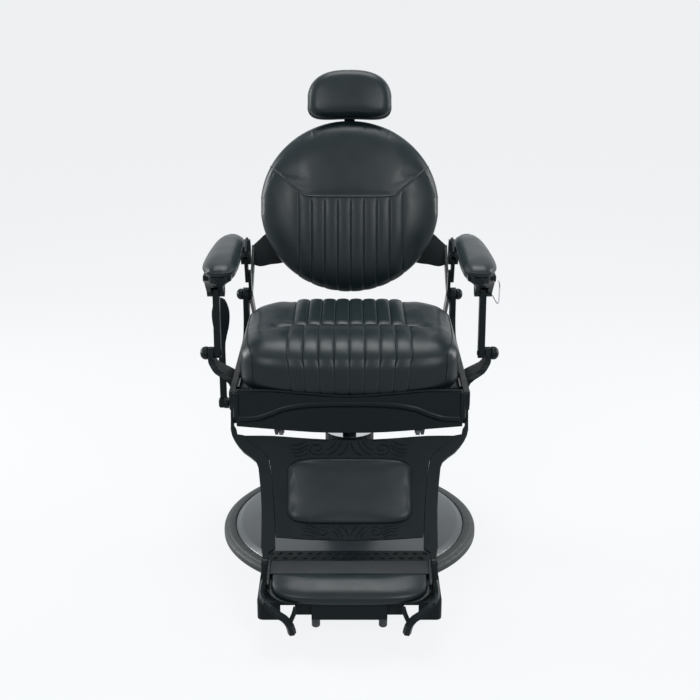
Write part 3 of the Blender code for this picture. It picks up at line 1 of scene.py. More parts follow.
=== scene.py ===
"""Looks of a hydraulic barber chair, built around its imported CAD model.

Hard pieces keep their CAD solids and get procedural finishes. Padded pieces are sewn forms
that a cloth simulation fills, with piping, lapped seams and thread. All sizes are in metres.
"""
import json
import logging
import math
from dataclasses import dataclass, field
from enum import Enum
from typing import Any, Callable, Optional, Sequence

import bpy
from mathutils import Matrix, Vector, noise
from mathutils.bvhtree import BVHTree

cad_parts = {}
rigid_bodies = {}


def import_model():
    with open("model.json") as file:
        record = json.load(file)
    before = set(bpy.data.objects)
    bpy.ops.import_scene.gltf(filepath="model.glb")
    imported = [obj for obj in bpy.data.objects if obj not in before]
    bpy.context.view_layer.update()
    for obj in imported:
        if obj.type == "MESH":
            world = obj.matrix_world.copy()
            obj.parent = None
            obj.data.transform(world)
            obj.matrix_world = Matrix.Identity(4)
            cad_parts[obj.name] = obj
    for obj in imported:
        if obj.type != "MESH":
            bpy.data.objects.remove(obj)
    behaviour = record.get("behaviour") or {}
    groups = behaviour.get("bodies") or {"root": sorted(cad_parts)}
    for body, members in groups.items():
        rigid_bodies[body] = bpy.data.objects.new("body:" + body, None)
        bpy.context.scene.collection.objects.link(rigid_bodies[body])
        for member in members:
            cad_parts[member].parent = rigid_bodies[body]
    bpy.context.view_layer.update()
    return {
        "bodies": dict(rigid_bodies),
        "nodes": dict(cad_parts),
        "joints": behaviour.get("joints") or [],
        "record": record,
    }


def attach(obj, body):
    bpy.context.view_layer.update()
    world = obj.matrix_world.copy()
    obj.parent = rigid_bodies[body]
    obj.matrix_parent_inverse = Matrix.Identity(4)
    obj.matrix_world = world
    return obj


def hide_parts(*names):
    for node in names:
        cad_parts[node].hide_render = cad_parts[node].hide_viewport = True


log = logging.getLogger("barber_chair")
MM = 0.001
RIGHT, LEFT = -1.0, 1.0  # the sitter's sides, as signs of x
# Planes that lean, as in the CAD model: (y, z) of each plane's foot, and its lean in degrees.
BACK_FOOT, BACK_LEAN = (0.200, 0.627), 17.0
LEG_FOOT, LEG_LEAN = (-0.240, 0.437), 38.0
FOOT_BAR_PIVOT, FOOT_BAR_LEAN = (-0.48663, 0.15381), 74.6
PIPING_RADIUS = 1.9 * MM
# The cloth that fills a cover: its frames, its quality and the hide's stiffness.
FILL_FRAMES = 20
FILL_QUALITY = 5
HIDE_TENSION, HIDE_SHEAR, HIDE_BENDING = 30.0, 12.0, 2.0
SEWN_DEPTH = 1.2 * MM  # a side's corner is held by thread where a seam draws it in deeper than this
STILL = 1e-7  # a shorter move of the cloth is none


# --- finishes -------------------------------------------------------------------------
class Surface(Enum):
    """The chair's finishes, each by how its surface was made."""

    POWDER_COAT = "satin_powder_coat"
    SAND_CASTING = "painted_sand_casting"
    DISH_ENAMEL = "sprayed_dish_enamel"
    MOULDED_RUBBER = "moulded_rubber"
    CHROME = "polished_chrome_plate"
    TURNED_STEEL = "turned_steel"
    BRONZE = "turned_bronze"
    PLYWOOD = "laid_plywood"
    LEATHER = "corrected_grain_leather"
    PIPING = "rolled_leather_piping"
    THREAD = "waxed_thread"


class Grain(Enum):
    """What a surface's fine relief is drawn from."""

    PEBBLE = "ShaderNodeTexVoronoi"
    PEEL = "ShaderNodeTexNoise"
    RINGS = "ShaderNodeTexWave"


def linear(code: str) -> tuple[float, float, float, float]:
    """Turn an sRGB hex colour into linear light.

    Args:
        code: six hex digits.

    Returns:
        Red, green, blue and alpha for a shader socket.
    """
    channels = [int(code[i:i + 2], 16) / 255.0 for i in (0, 2, 4)]
    light = [c / 12.92 if c <= 0.04045 else ((c + 0.055) / 1.055) ** 2.4 for c in channels]
    return (light[0], light[1], light[2], 1.0)


def add_node(tree: bpy.types.NodeTree, kind: str, settings: Optional[dict] = None,
             links: Optional[dict] = None) -> bpy.types.Node:
    """Add one node, give it its settings and link its inputs.

    Args:
        tree: the material's or the world's node tree.
        kind: the node's Blender type.
        settings: values by property name, or by input name or number.
        links: the output sockets that feed it, by input name or number.

    Returns:
        The new node.
    """
    node = tree.nodes.new(kind)
    for key, value in (settings or {}).items():
        if isinstance(key, str) and hasattr(node, key):
            setattr(node, key, value)
        else:
            node.inputs[key].default_value = value
    for key, socket in (links or {}).items():
        tree.links.new(socket, node.inputs[key])
    return node


@dataclass(frozen=True)
class Finish:
    """A surface: its two tones, its gloss and its fine relief, all from real sizes."""

    surface: Surface
    tone: str
    second_tone: str
    mottle_mm: float  # size of the patches that mix the two tones
    roughness: tuple[float, float]  # least and most
    gloss_patch_mm: float  # size of the patches between the two
    grain: Grain
    grain_mm: float  # spacing of the relief
    grain_depth_mm: float
    metallic: float = 0.0
    ior: float = 1.5  # lower on the blacks, so that the pale room doesn't veil them
    edge_mm: float = 0.0  # radius by which its edges look rounded
    coat: float = 0.0
    stretch: tuple[float, float, float] = (1.0, 1.0, 1.0)  # smaller where the grain runs long

    def material(self) -> bpy.types.Material:
        """Build the finish's node tree.

        Returns:
            The material, with every constant on the shader's own sockets.
        """
        made = bpy.data.materials.new(self.surface.value)
        made.use_nodes = True
        made.diffuse_color = linear(self.tone)
        tree = made.node_tree
        tree.nodes.clear()
        place = add_node(tree, "ShaderNodeTexCoord")
        spread = add_node(tree, "ShaderNodeMapping", {"Scale": self.stretch}, {"Vector": place.outputs["Object"]})
        at = spread.outputs["Vector"]
        mottle = add_node(tree, "ShaderNodeTexNoise", {"Scale": 1000.0 / self.mottle_mm, "Detail": 4.0,
                                                       "Roughness": 0.55}, {"Vector": at})
        tones = add_node(tree, "ShaderNodeMix", {"data_type": "RGBA", 6: linear(self.tone),
                                                 7: linear(self.second_tone)}, {0: mottle.outputs[0]})
        patches = add_node(tree, "ShaderNodeTexNoise", {"Scale": 1000.0 / self.gloss_patch_mm, "Detail": 3.0},
                           {"Vector": at})
        gloss = add_node(tree, "ShaderNodeMapRange", {"From Min": 0.3, "From Max": 0.7, "To Min": self.roughness[0],
                                                      "To Max": self.roughness[1]}, {"Value": patches.outputs[0]})
        normal = self._relief(tree, at)
        shader = add_node(tree, "ShaderNodeBsdfPrincipled", {"Metallic": self.metallic, "Coat Weight": self.coat,
                                                             "Coat Roughness": 0.25},
                          {"Base Color": tones.outputs[2], "Roughness": gloss.outputs["Result"], "Normal": normal})
        if not self.metallic:
            shader.inputs["IOR"].default_value = self.ior
        add_node(tree, "ShaderNodeOutputMaterial", links={"Surface": shader.outputs[0]})
        return made

    def _relief(self, tree: bpy.types.NodeTree, at: bpy.types.NodeSocket) -> bpy.types.NodeSocket:
        """Draw the fine relief over the softened edges.

        Args:
            tree: the material's node tree.
            at: the point that the texture is read at.

        Returns:
            The normal to shade with.
        """
        scale = 1000.0 / self.grain_mm
        settings: dict[Any, Any] = {"Scale": scale}
        if self.grain is Grain.PEBBLE:
            settings.update({"feature": "SMOOTH_F1", "Smoothness": 0.6})
        elif self.grain is Grain.PEEL:
            settings.update({"Detail": 2.0, "Roughness": 0.5})
        else:
            # A wave texture makes one ring every 2 pi / (20 * its scale), here round the chair's axis.
            settings.update({"Scale": scale * math.pi / 10.0, "wave_type": "RINGS", "rings_direction": "Z",
                             "wave_profile": "SIN"})
        pattern = add_node(tree, self.grain.value, settings, {"Vector": at})
        bump = add_node(tree, "ShaderNodeBump", {"Strength": 1.0, "Distance": self.grain_depth_mm * MM},
                        {"Height": pattern.outputs[0]})
        if self.edge_mm:
            soft = add_node(tree, "ShaderNodeBevel", {"samples": 6, "Radius": self.edge_mm * MM})
            tree.links.new(soft.outputs[0], bump.inputs["Normal"])
        return bump.outputs[0]


FINISHES = (
    # Powder coat, sprayed and baked: a fine orange peel that spreads its highlights, and soft edges.
    Finish(Surface.POWDER_COAT, "0b1417", "10191c", 60.0, (0.28, 0.36), 35.0, Grain.PEEL, 1.6, 0.03, edge_mm=3.0,
           ior=1.21),
    # Cast iron from a sand mould under satin paint: the sand still shows as a low, coarse grain.
    Finish(Surface.SAND_CASTING, "0a1214", "0f171a", 45.0, (0.38, 0.50), 25.0, Grain.PEEL, 2.6, 0.12, edge_mm=3.0,
           ior=1.20),
    # Graphite enamel sprayed on the turned dish: smoother and greyer, with a broad soft gloss.
    Finish(Surface.DISH_ENAMEL, "323a3e", "3b4448", 120.0, (0.30, 0.38), 90.0, Grain.PEEL, 2.0, 0.015,
           edge_mm=1.5, coat=0.25),
    # Moulded rubber ring: matt, with the mould's fine turned ribs about 4 mm apart.
    Finish(Surface.MOULDED_RUBBER, "1e2527", "242b2d", 30.0, (0.50, 0.62), 20.0, Grain.RINGS, 4.0, 0.35, edge_mm=1.0),
    # Chrome plate, buffed: a bright mirror with hardly any relief.
    Finish(Surface.CHROME, "c6c9cc", "d0d2d5", 40.0, (0.08, 0.16), 30.0, Grain.PEEL, 3.0, 0.004, metallic=1.0,
           edge_mm=0.8),
    # Turned steel: the tool's fine feed marks and an oiled, uneven gloss.
    Finish(Surface.TURNED_STEEL, "8b8e92", "9a9da0", 25.0, (0.26, 0.36), 15.0, Grain.PEEL, 0.8, 0.02, metallic=1.0,
           edge_mm=0.8, stretch=(0.15, 1.0, 1.0)),
    # Turned bronze bush.
    Finish(Surface.BRONZE, "9c7642", "ac864e", 20.0, (0.25, 0.35), 12.0, Grain.PEEL, 0.8, 0.02, metallic=1.0),
    # Plywood, laid in plies: its face's grain runs across the chair.
    Finish(Surface.PLYWOOD, "7d5f3c", "9b7a50", 9.0, (0.50, 0.62), 20.0, Grain.PEEL, 1.2, 0.05,
           stretch=(0.08, 1.0, 1.0)),
    # Corrected-grain leather: embossed pebbles, drawn 2.4 mm wide so that they show, under a satin coat.
    Finish(Surface.LEATHER, "101a1d", "162023", 70.0, (0.31, 0.40), 45.0, Grain.PEBBLE, 2.4, 0.035, ior=1.30),
    # Piping rolled from the same hide: stretched smooth, so a little glossier.
    Finish(Surface.PIPING, "10191c", "151f22", 30.0, (0.27, 0.34), 20.0, Grain.PEBBLE, 2.0, 0.03, ior=1.26),
    # Waxed polyester thread, twisted: small and dull. Its tone is paler than the hide: partly the thread's own colour
    # and partly a painted highlight, the glint that makes each stitch show.
    Finish(Surface.THREAD, "48525a", "535d62", 5.0, (0.50, 0.60), 5.0, Grain.PEEL, 0.6, 0.05),
)


# --- shared shapes --------------------------------------------------------------------
def tilted(foot: tuple[float, float], lean_deg: float) -> Matrix:
    """A drawing plane that leans back.

    Args:
        foot: (y, z) of the plane's own origin.
        lean_deg: how far it leans from upright.

    Returns:
        The matrix from (across, up the plane, out of its face) to the chair's frame.
    """
    lean = math.radians(lean_deg)
    axes = Matrix((Vector((1.0, 0.0, 0.0)), Vector((0.0, math.sin(lean), math.cos(lean))),
                   Vector((0.0, -math.cos(lean), math.sin(lean))))).transposed().to_4x4()
    axes.translation = Vector((0.0, foot[0], foot[1]))
    return axes


def oval(x: float, half_x: float, half_y: float, power: float) -> float:
    """Half height of a squared oval at x."""
    return half_y * max(0.0, 1.0 - abs(x / half_x) ** power) ** (1.0 / power)


def clamp(share: float) -> float:
    """The share, held between 0 and 1."""
    return max(0.0, min(1.0, share))


def bell(off: float, width: float) -> float:
    """A soft bump, 1 where off is 0 and almost 0 past two widths."""
    return math.exp(-(off / width) ** 2)


def eased(low: float, high: float, count: int) -> list[float]:
    """Positions from one edge to the other, closer together towards both."""
    return [low + (high - low) * 0.5 * (1.0 - math.cos(math.pi * k / count)) for k in range(count + 1)]


def smooth_run(points: Sequence[Sequence[float]], steps: int = 8) -> list[Vector]:
    """A Catmull-Rom curve.

    Args:
        points: what it runs through, in two or three dimensions.
        steps: how many steps it takes between two points.

    Returns:
        The points along the curve.
    """
    ends = [points[0], *points, points[-1]]
    run = []
    for i in range(1, len(ends) - 2):
        a, b, c, d = (Vector(ends[i + k]) for k in (-1, 0, 1, 2))
        for k in range(steps):
            t = k / steps
            run.append(0.5 * (2 * b + (c - a) * t + (2 * a - 5 * b + 4 * c - d) * t * t
                              + (3 * b - a - 3 * c + d) * t ** 3))
    run.append(Vector(points[-1]))
    return run


def relaxed(run: list[Vector], passes: int) -> list[Vector]:
    """Even out a run of points and keep its two ends.

    Args:
        run: the points.
        passes: how many times each is drawn to its neighbours.

    Returns:
        The evened points.
    """
    for _ in range(passes):
        run = [run[0]] + [(a + b * 2.0 + c) / 4.0 for a, b, c in zip(run, run[1:], run[2:])] + [run[-1]]
    return run


def mesh_object(name: str, points: Sequence[Sequence[float]], faces: Sequence[Sequence[int]],
                matrix: Optional[Matrix] = None) -> bpy.types.Object:
    """Make a smooth-shaded mesh object in the scene.

    Args:
        name: the piece's name.
        points: its corners.
        faces: its faces, as corner numbers.
        matrix: what carries the corners into the chair's frame.

    Returns:
        The object.
    """
    mesh = bpy.data.meshes.new(name)
    mesh.from_pydata([tuple(p) for p in points], [], [tuple(f) for f in faces])
    if matrix is not None:
        mesh.transform(matrix)
    mesh.validate()
    mesh.shade_smooth()
    made = bpy.data.objects.new(name, mesh)
    bpy.context.scene.collection.objects.link(made)
    return made


def ring_of(heart: Vector, across: Vector, other: Vector, radius: float, sides: int) -> list[Vector]:
    """Corners of a circle round its heart, in the plane of two unit directions."""
    turns = [2.0 * math.pi * k / sides for k in range(sides)]
    return [heart + (across * math.cos(turn) + other * math.sin(turn)) * radius for turn in turns]


def tube_faces(rings: int, sides: int, closed: bool = False, start: int = 0) -> list[list[int]]:
    """Faces between rings of corners that follow each other.

    Args:
        rings: how many rings there are.
        sides: how many corners each has.
        closed: whether the last ring joins the first. Both ends are capped where it doesn't.
        start: the number of the first corner.

    Returns:
        The faces, as corner numbers.
    """
    faces = []
    for i in range(rings if closed else rings - 1):
        low, high = start + i * sides, start + (i + 1) % rings * sides
        for k in range(sides):
            j = (k + 1) % sides
            faces.append([low + k, low + j, high + j, high + k])
    if not closed:
        faces.append([start + k for k in reversed(range(sides))])
        faces.append([start + (rings - 1) * sides + k for k in range(sides)])
    return faces


def sweep(path: Sequence[Vector], radii: Sequence[float], sides: int = 8, closed: bool = False,
          start: int = 0) -> tuple[list[Vector], list[list[int]]]:
    """A round bar along a path.

    Args:
        path: the bar's middle line.
        radii: its radius at each point.
        sides: how many flats it has.
        closed: whether it joins its own start.
        start: the number that its first corner gets.

    Returns:
        Corners and faces.
    """
    points: list[Vector] = []
    count = len(path)
    across = None
    for i, at in enumerate(path):
        ahead = path[(i + 1) % count] if closed or i + 1 < count else at
        behind = path[i - 1] if closed or i else at
        along = (ahead - behind).normalized()
        if across is None:
            across = along.orthogonal().normalized()
        across = (across - along * across.dot(along)).normalized()
        points += ring_of(at, across, along.cross(across), radii[i], sides)
    return points, tube_faces(count, sides, closed, start)


def turned_profile(profile: Sequence[tuple[float, float]], at: Vector, axis: Vector, sides: int = 20,
                   start: int = 0, hollow: bool = False) -> tuple[list[Vector], list[list[int]]]:
    """Turn a profile round its axis.

    Args:
        profile: (radius, height) pairs.
        at: the foot of the axis.
        axis: its direction.
        sides: how many flats it has.
        start: the number that its first corner gets.
        hollow: whether the profile closes on itself, as a ring's does, or is capped at both ends.

    Returns:
        Corners and faces.
    """
    along = axis.normalized()
    across = along.orthogonal().normalized()
    other = along.cross(across)
    points: list[Vector] = []
    for radius, height in profile:
        points += ring_of(at + along * height, across, other, radius, sides)
    return points, tube_faces(len(profile), sides, hollow, start)


class Parts:
    """Corners and faces that are gathered into one mesh."""

    def __init__(self) -> None:
        """Start empty."""
        self.points: list[Vector] = []
        self.faces: list[list[int]] = []

    def bar(self, path: Sequence[Vector], radii: Sequence[float], sides: int = 8, closed: bool = False) -> None:
        """Add a round bar along a path."""
        points, faces = sweep(path, radii, sides, closed, len(self.points))
        self.points += points
        self.faces += faces

    def rod(self, path: Sequence[Vector], radius: float, sides: int = 8, closed: bool = False) -> None:
        """Add a round bar of one thickness, such as piping."""
        self.bar(path, [radius] * len(path), sides, closed)

    def turn(self, profile: Sequence[tuple[float, float]], at: Vector, axis: Vector, sides: int = 20,
             hollow: bool = False) -> None:
        """Add a turned solid, or a turned ring."""
        points, faces = turned_profile(profile, at, axis, sides, len(self.points), hollow)
        self.points += points
        self.faces += faces

    def stitch(self, at: Vector, along: Vector, up: Vector, length: float, radius: float) -> None:
        """Add one stitch: a short thread that dips into the hide at both ends."""
        side = along.cross(up).normalized() * radius
        high = up.normalized() * radius
        half = along.normalized() * length / 2.0
        n = len(self.points)
        self.points += [at - half - high, at + side, at + high, at - side, at - high, at + half - high]
        for a, b in ((1, 2), (2, 3), (3, 4), (4, 1)):
            self.faces.append([n, n + b, n + a])
            self.faces.append([n + 5, n + a, n + b])

    def made(self, name: str, matrix: Optional[Matrix] = None) -> bpy.types.Object:
        """The gathered mesh as an object."""
        return mesh_object(name, self.points, self.faces, matrix)


def applied(piece: bpy.types.Object) -> bpy.types.Object:
    """Replace a piece's mesh with what its modifiers make of it."""
    graph = bpy.context.evaluated_depsgraph_get()
    mesh = bpy.data.meshes.new_from_object(piece.evaluated_get(graph))
    piece.modifiers.clear()
    piece.data = mesh
    mesh.shade_smooth()
    return piece


def subdivided(piece: bpy.types.Object, levels: int = 1) -> bpy.types.Object:
    """Smooth a piece by subdivision."""
    smooth = piece.modifiers.new("smooth", "SUBSURF")
    smooth.levels = levels
    smooth.render_levels = levels
    return applied(piece)


@dataclass
class Workshop:
    """Puts finished pieces on the chair."""

    frame: dict
    materials: dict[Surface, bpy.types.Material] = field(default_factory=dict)

    def __post_init__(self) -> None:
        """Make every finish once."""
        for finish in FINISHES:
            self.materials[finish.surface] = finish.material()

    def fit(self, piece: bpy.types.Object, body: str, surface: Surface,
            stands_for: Sequence[str] = ()) -> bpy.types.Object:
        """Finish a piece and let it ride on its body.

        Args:
            piece: the new object.
            body: the CAD body that carries it.
            surface: its finish.
            stands_for: the CAD nodes that it replaces.

        Returns:
            The same object.
        """
        piece.data.materials.clear()
        piece.data.materials.append(self.materials[surface])
        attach(piece, body)
        if stands_for:
            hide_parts(*stands_for)
        log.info("%s rides on %s in %s", piece.name, body, surface.value)
        return piece

    def dress(self, node: str, surface: Surface) -> None:
        """Give a CAD node its finish."""
        solid = self.frame["nodes"][node]
        for held in solid.material_slots:
            held.material = self.materials[surface]
        if not solid.material_slots:
            solid.data.materials.append(self.materials[surface])
        log.info("%s keeps its CAD solid in %s", node, surface.value)


# --- padding --------------------------------------------------------------------------
def rolled(share: float, power: float) -> float:
    """How far a rolled edge has dropped at a share of its width, from 0 to 1."""
    return 1.0 - max(0.0, 1.0 - min(1.0, share) ** power) ** (1.0 / power)


def roll_drop(share: float, width: float, depth: float, power: float) -> float:
    """How far a face has dropped at its rolled edge.

    Args:
        share: how near the point is to the outline, from 0 in the middle to 1.
        width: the roll's width, as a share of the way from the outline to the middle.
        depth: how deep it ends.
        power: how square it is.

    Returns:
        The drop in metres.
    """
    return depth * rolled(max(0.0, (share - 1.0 + width) / width), power)


def outward(ring: Sequence[Vector]) -> list[Vector]:
    """Directions out of a clockwise outline, evened out round its corners.

    Args:
        ring: the outline's points.

    Returns:
        One unit direction for each point.
    """
    count = len(ring)
    out = []
    for k in range(count):
        along = ring[(k + 1) % count] - ring[k - 1]
        out.append(Vector((-along.y, along.x)).normalized())
    for _ in range(3):
        out = [(out[k - 1] + out[k] * 2.0 + out[(k + 1) % count]).normalized() for k in range(count)]
    return out


@dataclass
class SewnForm:
    """A closed cover: a face drawn on a grid, rings that carry it round its sides, and an underside.

    Attributes:
        name: the piece's name.
        columns: the grid's places across.
        rows: its places along, at a place across.
        rise: the face's height at a point.
        rim: the side's profile below an edge point, as (how far out, level) pairs.
        matrix: what carries the cover into the chair's frame.
        sewn: whether thread holds the face at a point.
        relief: how far channels stand out of the face, straight out of it.
        warp: where a point across ends up.
        hang: where a point of the side ends up.
        pressure: what fills the cover.
        cap: the furthest that filling moves a corner, in metres.
        held_rings: how many rings at the underside are nailed to the board.
    """

    name: str
    columns: Sequence[float]
    rows: Callable[[float], list[float]]
    rise: Callable[[float, float], float]
    rim: Callable[[float, float], list[tuple[float, float]]]
    matrix: Matrix
    sewn: Callable[[float, float], bool] = lambda x, y: False
    relief: Callable[[float, float], float] = lambda x, y: 0.0
    warp: Callable[[float, float], float] = lambda x, y: x
    hang: Callable[[float, float, float], tuple[float, float, float]] = lambda x, y, level: (x, y, level)
    pressure: float = 4.0
    cap: float = 0.006
    held_rings: int = 3

    def build(self) -> bpy.types.Object:
        """Sew the cover, fill it and smooth it.

        Returns:
            The padded object in the chair's frame.
        """
        points: list[Vector] = []
        held: list[int] = []
        grid, plan = self._face(points, held)
        faces = [[a[k], b[k], b[k + 1], a[k + 1]] for a, b in zip(grid, grid[1:]) for k in range(len(a) - 1)]
        loop = list(grid[0]) + [c[-1] for c in grid[1:-1]] + list(reversed(grid[-1]))
        loop += [c[0] for c in reversed(grid[1:-1])]
        hem = self._sides(points, held, faces, loop, [plan[i] for i in loop])
        faces += self._underside(hem, len(grid[0]), len(grid))
        piece = mesh_object(self.name, points, faces, self.matrix)
        self._fill(piece, held)
        return subdivided(piece)

    def _face(self, points: list[Vector], held: list[int]) -> tuple[list[list[int]], list[tuple[float, float]]]:
        """Draw the face.

        Args:
            points: the cover's corners, which the face's are added to.
            held: the corners that thread holds, likewise.

        Returns:
            Corner numbers by column and row, and each corner's place in the plan.
        """
        grid: list[list[int]] = []
        plan: list[tuple[float, float]] = []
        for x in self.columns:
            column = []
            for y in self.rows(x):
                column.append(len(points))
                plan.append((x, y))
                if self.sewn(x, y):
                    held.append(len(points))
                at = Vector((self.warp(x, y), y, self.rise(x, y)))
                proud = self.relief(x, y)
                points.append(at + self._normal(x, y) * proud if proud else at)
            grid.append(column)
        return grid, plan

    def _sides(self, points: list[Vector], held: list[int], faces: list[list[int]], loop: Sequence[int],
               plan: Sequence[tuple[float, float]]) -> Sequence[int]:
        """Carry the face's edge down in rings.

        Args:
            points: the cover's corners, which the rings' are added to.
            held: the corners that thread or the board holds, likewise.
            faces: its faces, likewise.
            loop: the corner numbers of the face's edge.
            plan: the place of each in the plan.

        Returns:
            The last ring's corner numbers.
        """
        normals = outward([points[i].to_2d() for i in loop])
        profiles = [self.rim(x, y) for x, y in plan]
        feet = [Vector((self.warp(x, y), y)) for x, y in plan]
        inner, rings = loop, len(profiles[0])
        for number in range(rings):
            ring = []
            for k, (x, y) in enumerate(plan):
                spread, level = profiles[k][number]
                proud = self.relief(x, y)
                ring.append(len(points))
                if proud < -SEWN_DEPTH or number >= rings - self.held_rings:
                    held.append(len(points))
                at = feet[k] + normals[k] * (spread + proud)
                points.append(Vector(self.hang(at.x, at.y, level)))
            for k in range(len(loop)):
                j = (k + 1) % len(loop)
                faces.append([inner[k], inner[j], ring[j], ring[k]])
            inner = ring
        return inner

    def _normal(self, x: float, y: float, step: float = 0.0015) -> Vector:
        """The face's direction at a point, from its slopes."""
        across = (self.rise(x + step, y) - self.rise(x - step, y)) / (2.0 * step)
        along = (self.rise(x, y + step) - self.rise(x, y - step)) / (2.0 * step)
        return Vector((-across, -along, 1.0)).normalized()

    @staticmethod
    def _underside(ring: Sequence[int], rows: int, columns: int) -> list[list[int]]:
        """Close the cover below.

        Args:
            ring: its last ring, in the order of the grid's outline.
            rows: how many rows the grid has.
            columns: how many columns it has.

        Returns:
            The faces, each from one long side to the other.
        """
        count = len(ring)
        tops = list(ring[rows:rows + columns - 2])
        bottoms = list(reversed(ring[2 * rows + columns - 2:]))
        faces = [[tops[i], tops[i + 1], bottoms[i + 1], bottoms[i]] for i in range(len(tops) - 1)]
        faces.append(list(ring[:rows]) + [tops[0], bottoms[0]])
        faces.append(list(ring[rows + columns - 2:count - columns + 2]) + [bottoms[-1], tops[-1]])
        return faces

    def _fill(self, piece: bpy.types.Object, held: Sequence[int]) -> None:
        """Blow the cover up between its seams, as foam under it does.

        Args:
            piece: the sewn cover.
            held: its corners that thread or the board holds.
        """
        if self.cap <= 0.0:
            return
        rest = [v.co.copy() for v in piece.data.vertices]
        group = piece.vertex_groups.new(name="sewn")
        group.add(list(held), 1.0, "REPLACE")
        cloth = piece.modifiers.new("fill", "CLOTH")
        cloth.settings.quality = FILL_QUALITY
        cloth.settings.vertex_group_mass = group.name
        cloth.settings.use_pressure = True
        cloth.settings.uniform_pressure_force = self.pressure
        cloth.settings.tension_stiffness = HIDE_TENSION
        cloth.settings.shear_stiffness = HIDE_SHEAR
        cloth.settings.bending_stiffness = HIDE_BENDING
        cloth.settings.effector_weights.gravity = 0.0
        cloth.point_cache.frame_start = 1
        cloth.point_cache.frame_end = FILL_FRAMES
        scene = bpy.context.scene
        for frame in range(1, FILL_FRAMES + 1):
            scene.frame_set(frame)
        graph = bpy.context.evaluated_depsgraph_get()
        filled = piece.evaluated_get(graph).data
        moved = [v.co.copy() for v in filled.vertices]
        piece.modifiers.remove(cloth)
        scene.frame_set(1)
        pinned = set(held)
        for i, (old, new) in enumerate(zip(rest, moved)):
            step = new - old
            if i in pinned or step.length < STILL:
                continue
            piece.data.vertices[i].co = old + step * min(1.0, self.cap / step.length)
        piece.vertex_groups.clear()


class Probe:
    """Finds points on a finished piece."""

    def __init__(self, piece: bpy.types.Object) -> None:
        """Read the piece's mesh."""
        mesh = piece.data
        self.tree = BVHTree.FromPolygons([v.co.copy() for v in mesh.vertices], [p.vertices[:] for p in mesh.polygons])

    def drop(self, start: Vector, along: Vector, reach: float = 0.4) -> Optional[tuple[Vector, Vector]]:
        """Where a line first meets the piece.

        Args:
            start: a point outside it.
            along: the line's direction.
            reach: how far it looks.

        Returns:
            The point and the surface's normal, or None.
        """
        point, normal, _, _ = self.tree.ray_cast(start, along, reach)
        if point is None:
            return None
        return point, normal if normal.dot(along) < 0.0 else -normal

    def nearest(self, at: Vector) -> tuple[Vector, Vector]:
        """The piece's nearest point and its normal there."""
        point, normal, _, _ = self.tree.find_nearest(at)
        return point, normal


@dataclass(frozen=True)
class Thread:
    """Stitching: its pitch, the thread's showing length and its radius."""

    pitch: float = 4.2 * MM
    length: float = 3.0 * MM
    radius: float = 0.45 * MM
    proud: float = 0.3  # how far a stitch's middle stands out of the hide, in radii
    bridge: float = 0.03  # a wider gap between two found points ends the row and starts it again

    def sew(self, parts: Parts, probe: Probe, path: Sequence[Vector], look: Vector) -> None:
        """Run a row of stitches over a padded piece.

        Args:
            parts: where the stitches go.
            probe: the padded piece.
            path: the row's line, held above the piece.
            look: the direction in which the line is pressed on to it.
        """
        found = [hit for hit in (probe.drop(p, look) for p in path) if hit]
        travelled = 0.0
        due = self.pitch
        for (a, normal), (b, _) in zip(found, found[1:]):
            step = (b - a).length
            if step > self.bridge:
                continue
            while step > 1e-6 and travelled + step >= due:
                at = a.lerp(b, (due - travelled) / step)
                parts.stitch(at + normal * self.radius * self.proud, b - a, normal, self.length, self.radius)
                due += self.pitch
            travelled += step


@dataclass
class Channels:
    """Sewn channels: their number, pitch, groove and crown."""

    count: int = 8
    pitch: float = 37.5 * MM
    groove: float = 3.6 * MM
    groove_half: float = 3.2 * MM
    crown: float = 2.2 * MM
    shift: float = 0.0  # how far the row of channels sits off the middle
    shoulder: float = 0.42  # the grid's place between a seam and its groove's edge

    def seams(self) -> list[float]:
        """Where the seams lie across."""
        return [(i - self.count / 2.0) * self.pitch + self.shift for i in range(self.count + 1)]

    def columns(self, reach: float, side: int) -> list[float]:
        """Grid columns: each seam with its shoulders, each crown, and the plain sides."""
        across: list[float] = []
        for i, seam in enumerate(self.seams()):
            across += [seam - self.groove_half, seam - self.groove_half * self.shoulder, seam,
                       seam + self.groove_half * self.shoulder, seam + self.groove_half]
            if i < self.count:
                across += [seam + self.pitch * t for t in (0.26, 0.5, 0.74)]
        wings = [[end + (edge - end) * math.sin(math.pi / 2.0 * k / side) for k in range(1, side + 1)]
                 for end, edge in ((across[0], -reach), (across[-1], reach))]
        return list(reversed(wings[0])) + across + wings[1]

    def depth(self, x: float) -> float:
        """How far the hide is drawn in at x."""
        nearest = min(abs(x - seam) for seam in self.seams())
        return self.groove * max(0.0, 1.0 - nearest / self.groove_half) ** 1.4

    def swell(self, x: float) -> float:
        """How far a channel rises at x."""
        reach, at = self.count * self.pitch / 2.0, x - self.shift
        return self.crown * abs(math.sin(math.pi * (at + reach) / self.pitch)) if abs(at) < reach else 0.0

    def on_seam(self, x: float) -> bool:
        """Whether x lies on a seam's thread."""
        return min(abs(x - seam) for seam in self.seams()) < 0.0006


def crumple(x: float, y: float, size: float, height: float) -> float:
    """A smooth, fixed unevenness of a hide: the noise's grain size and its height."""
    return height * noise.noise(Vector((x / size, y / size, 0.37)))


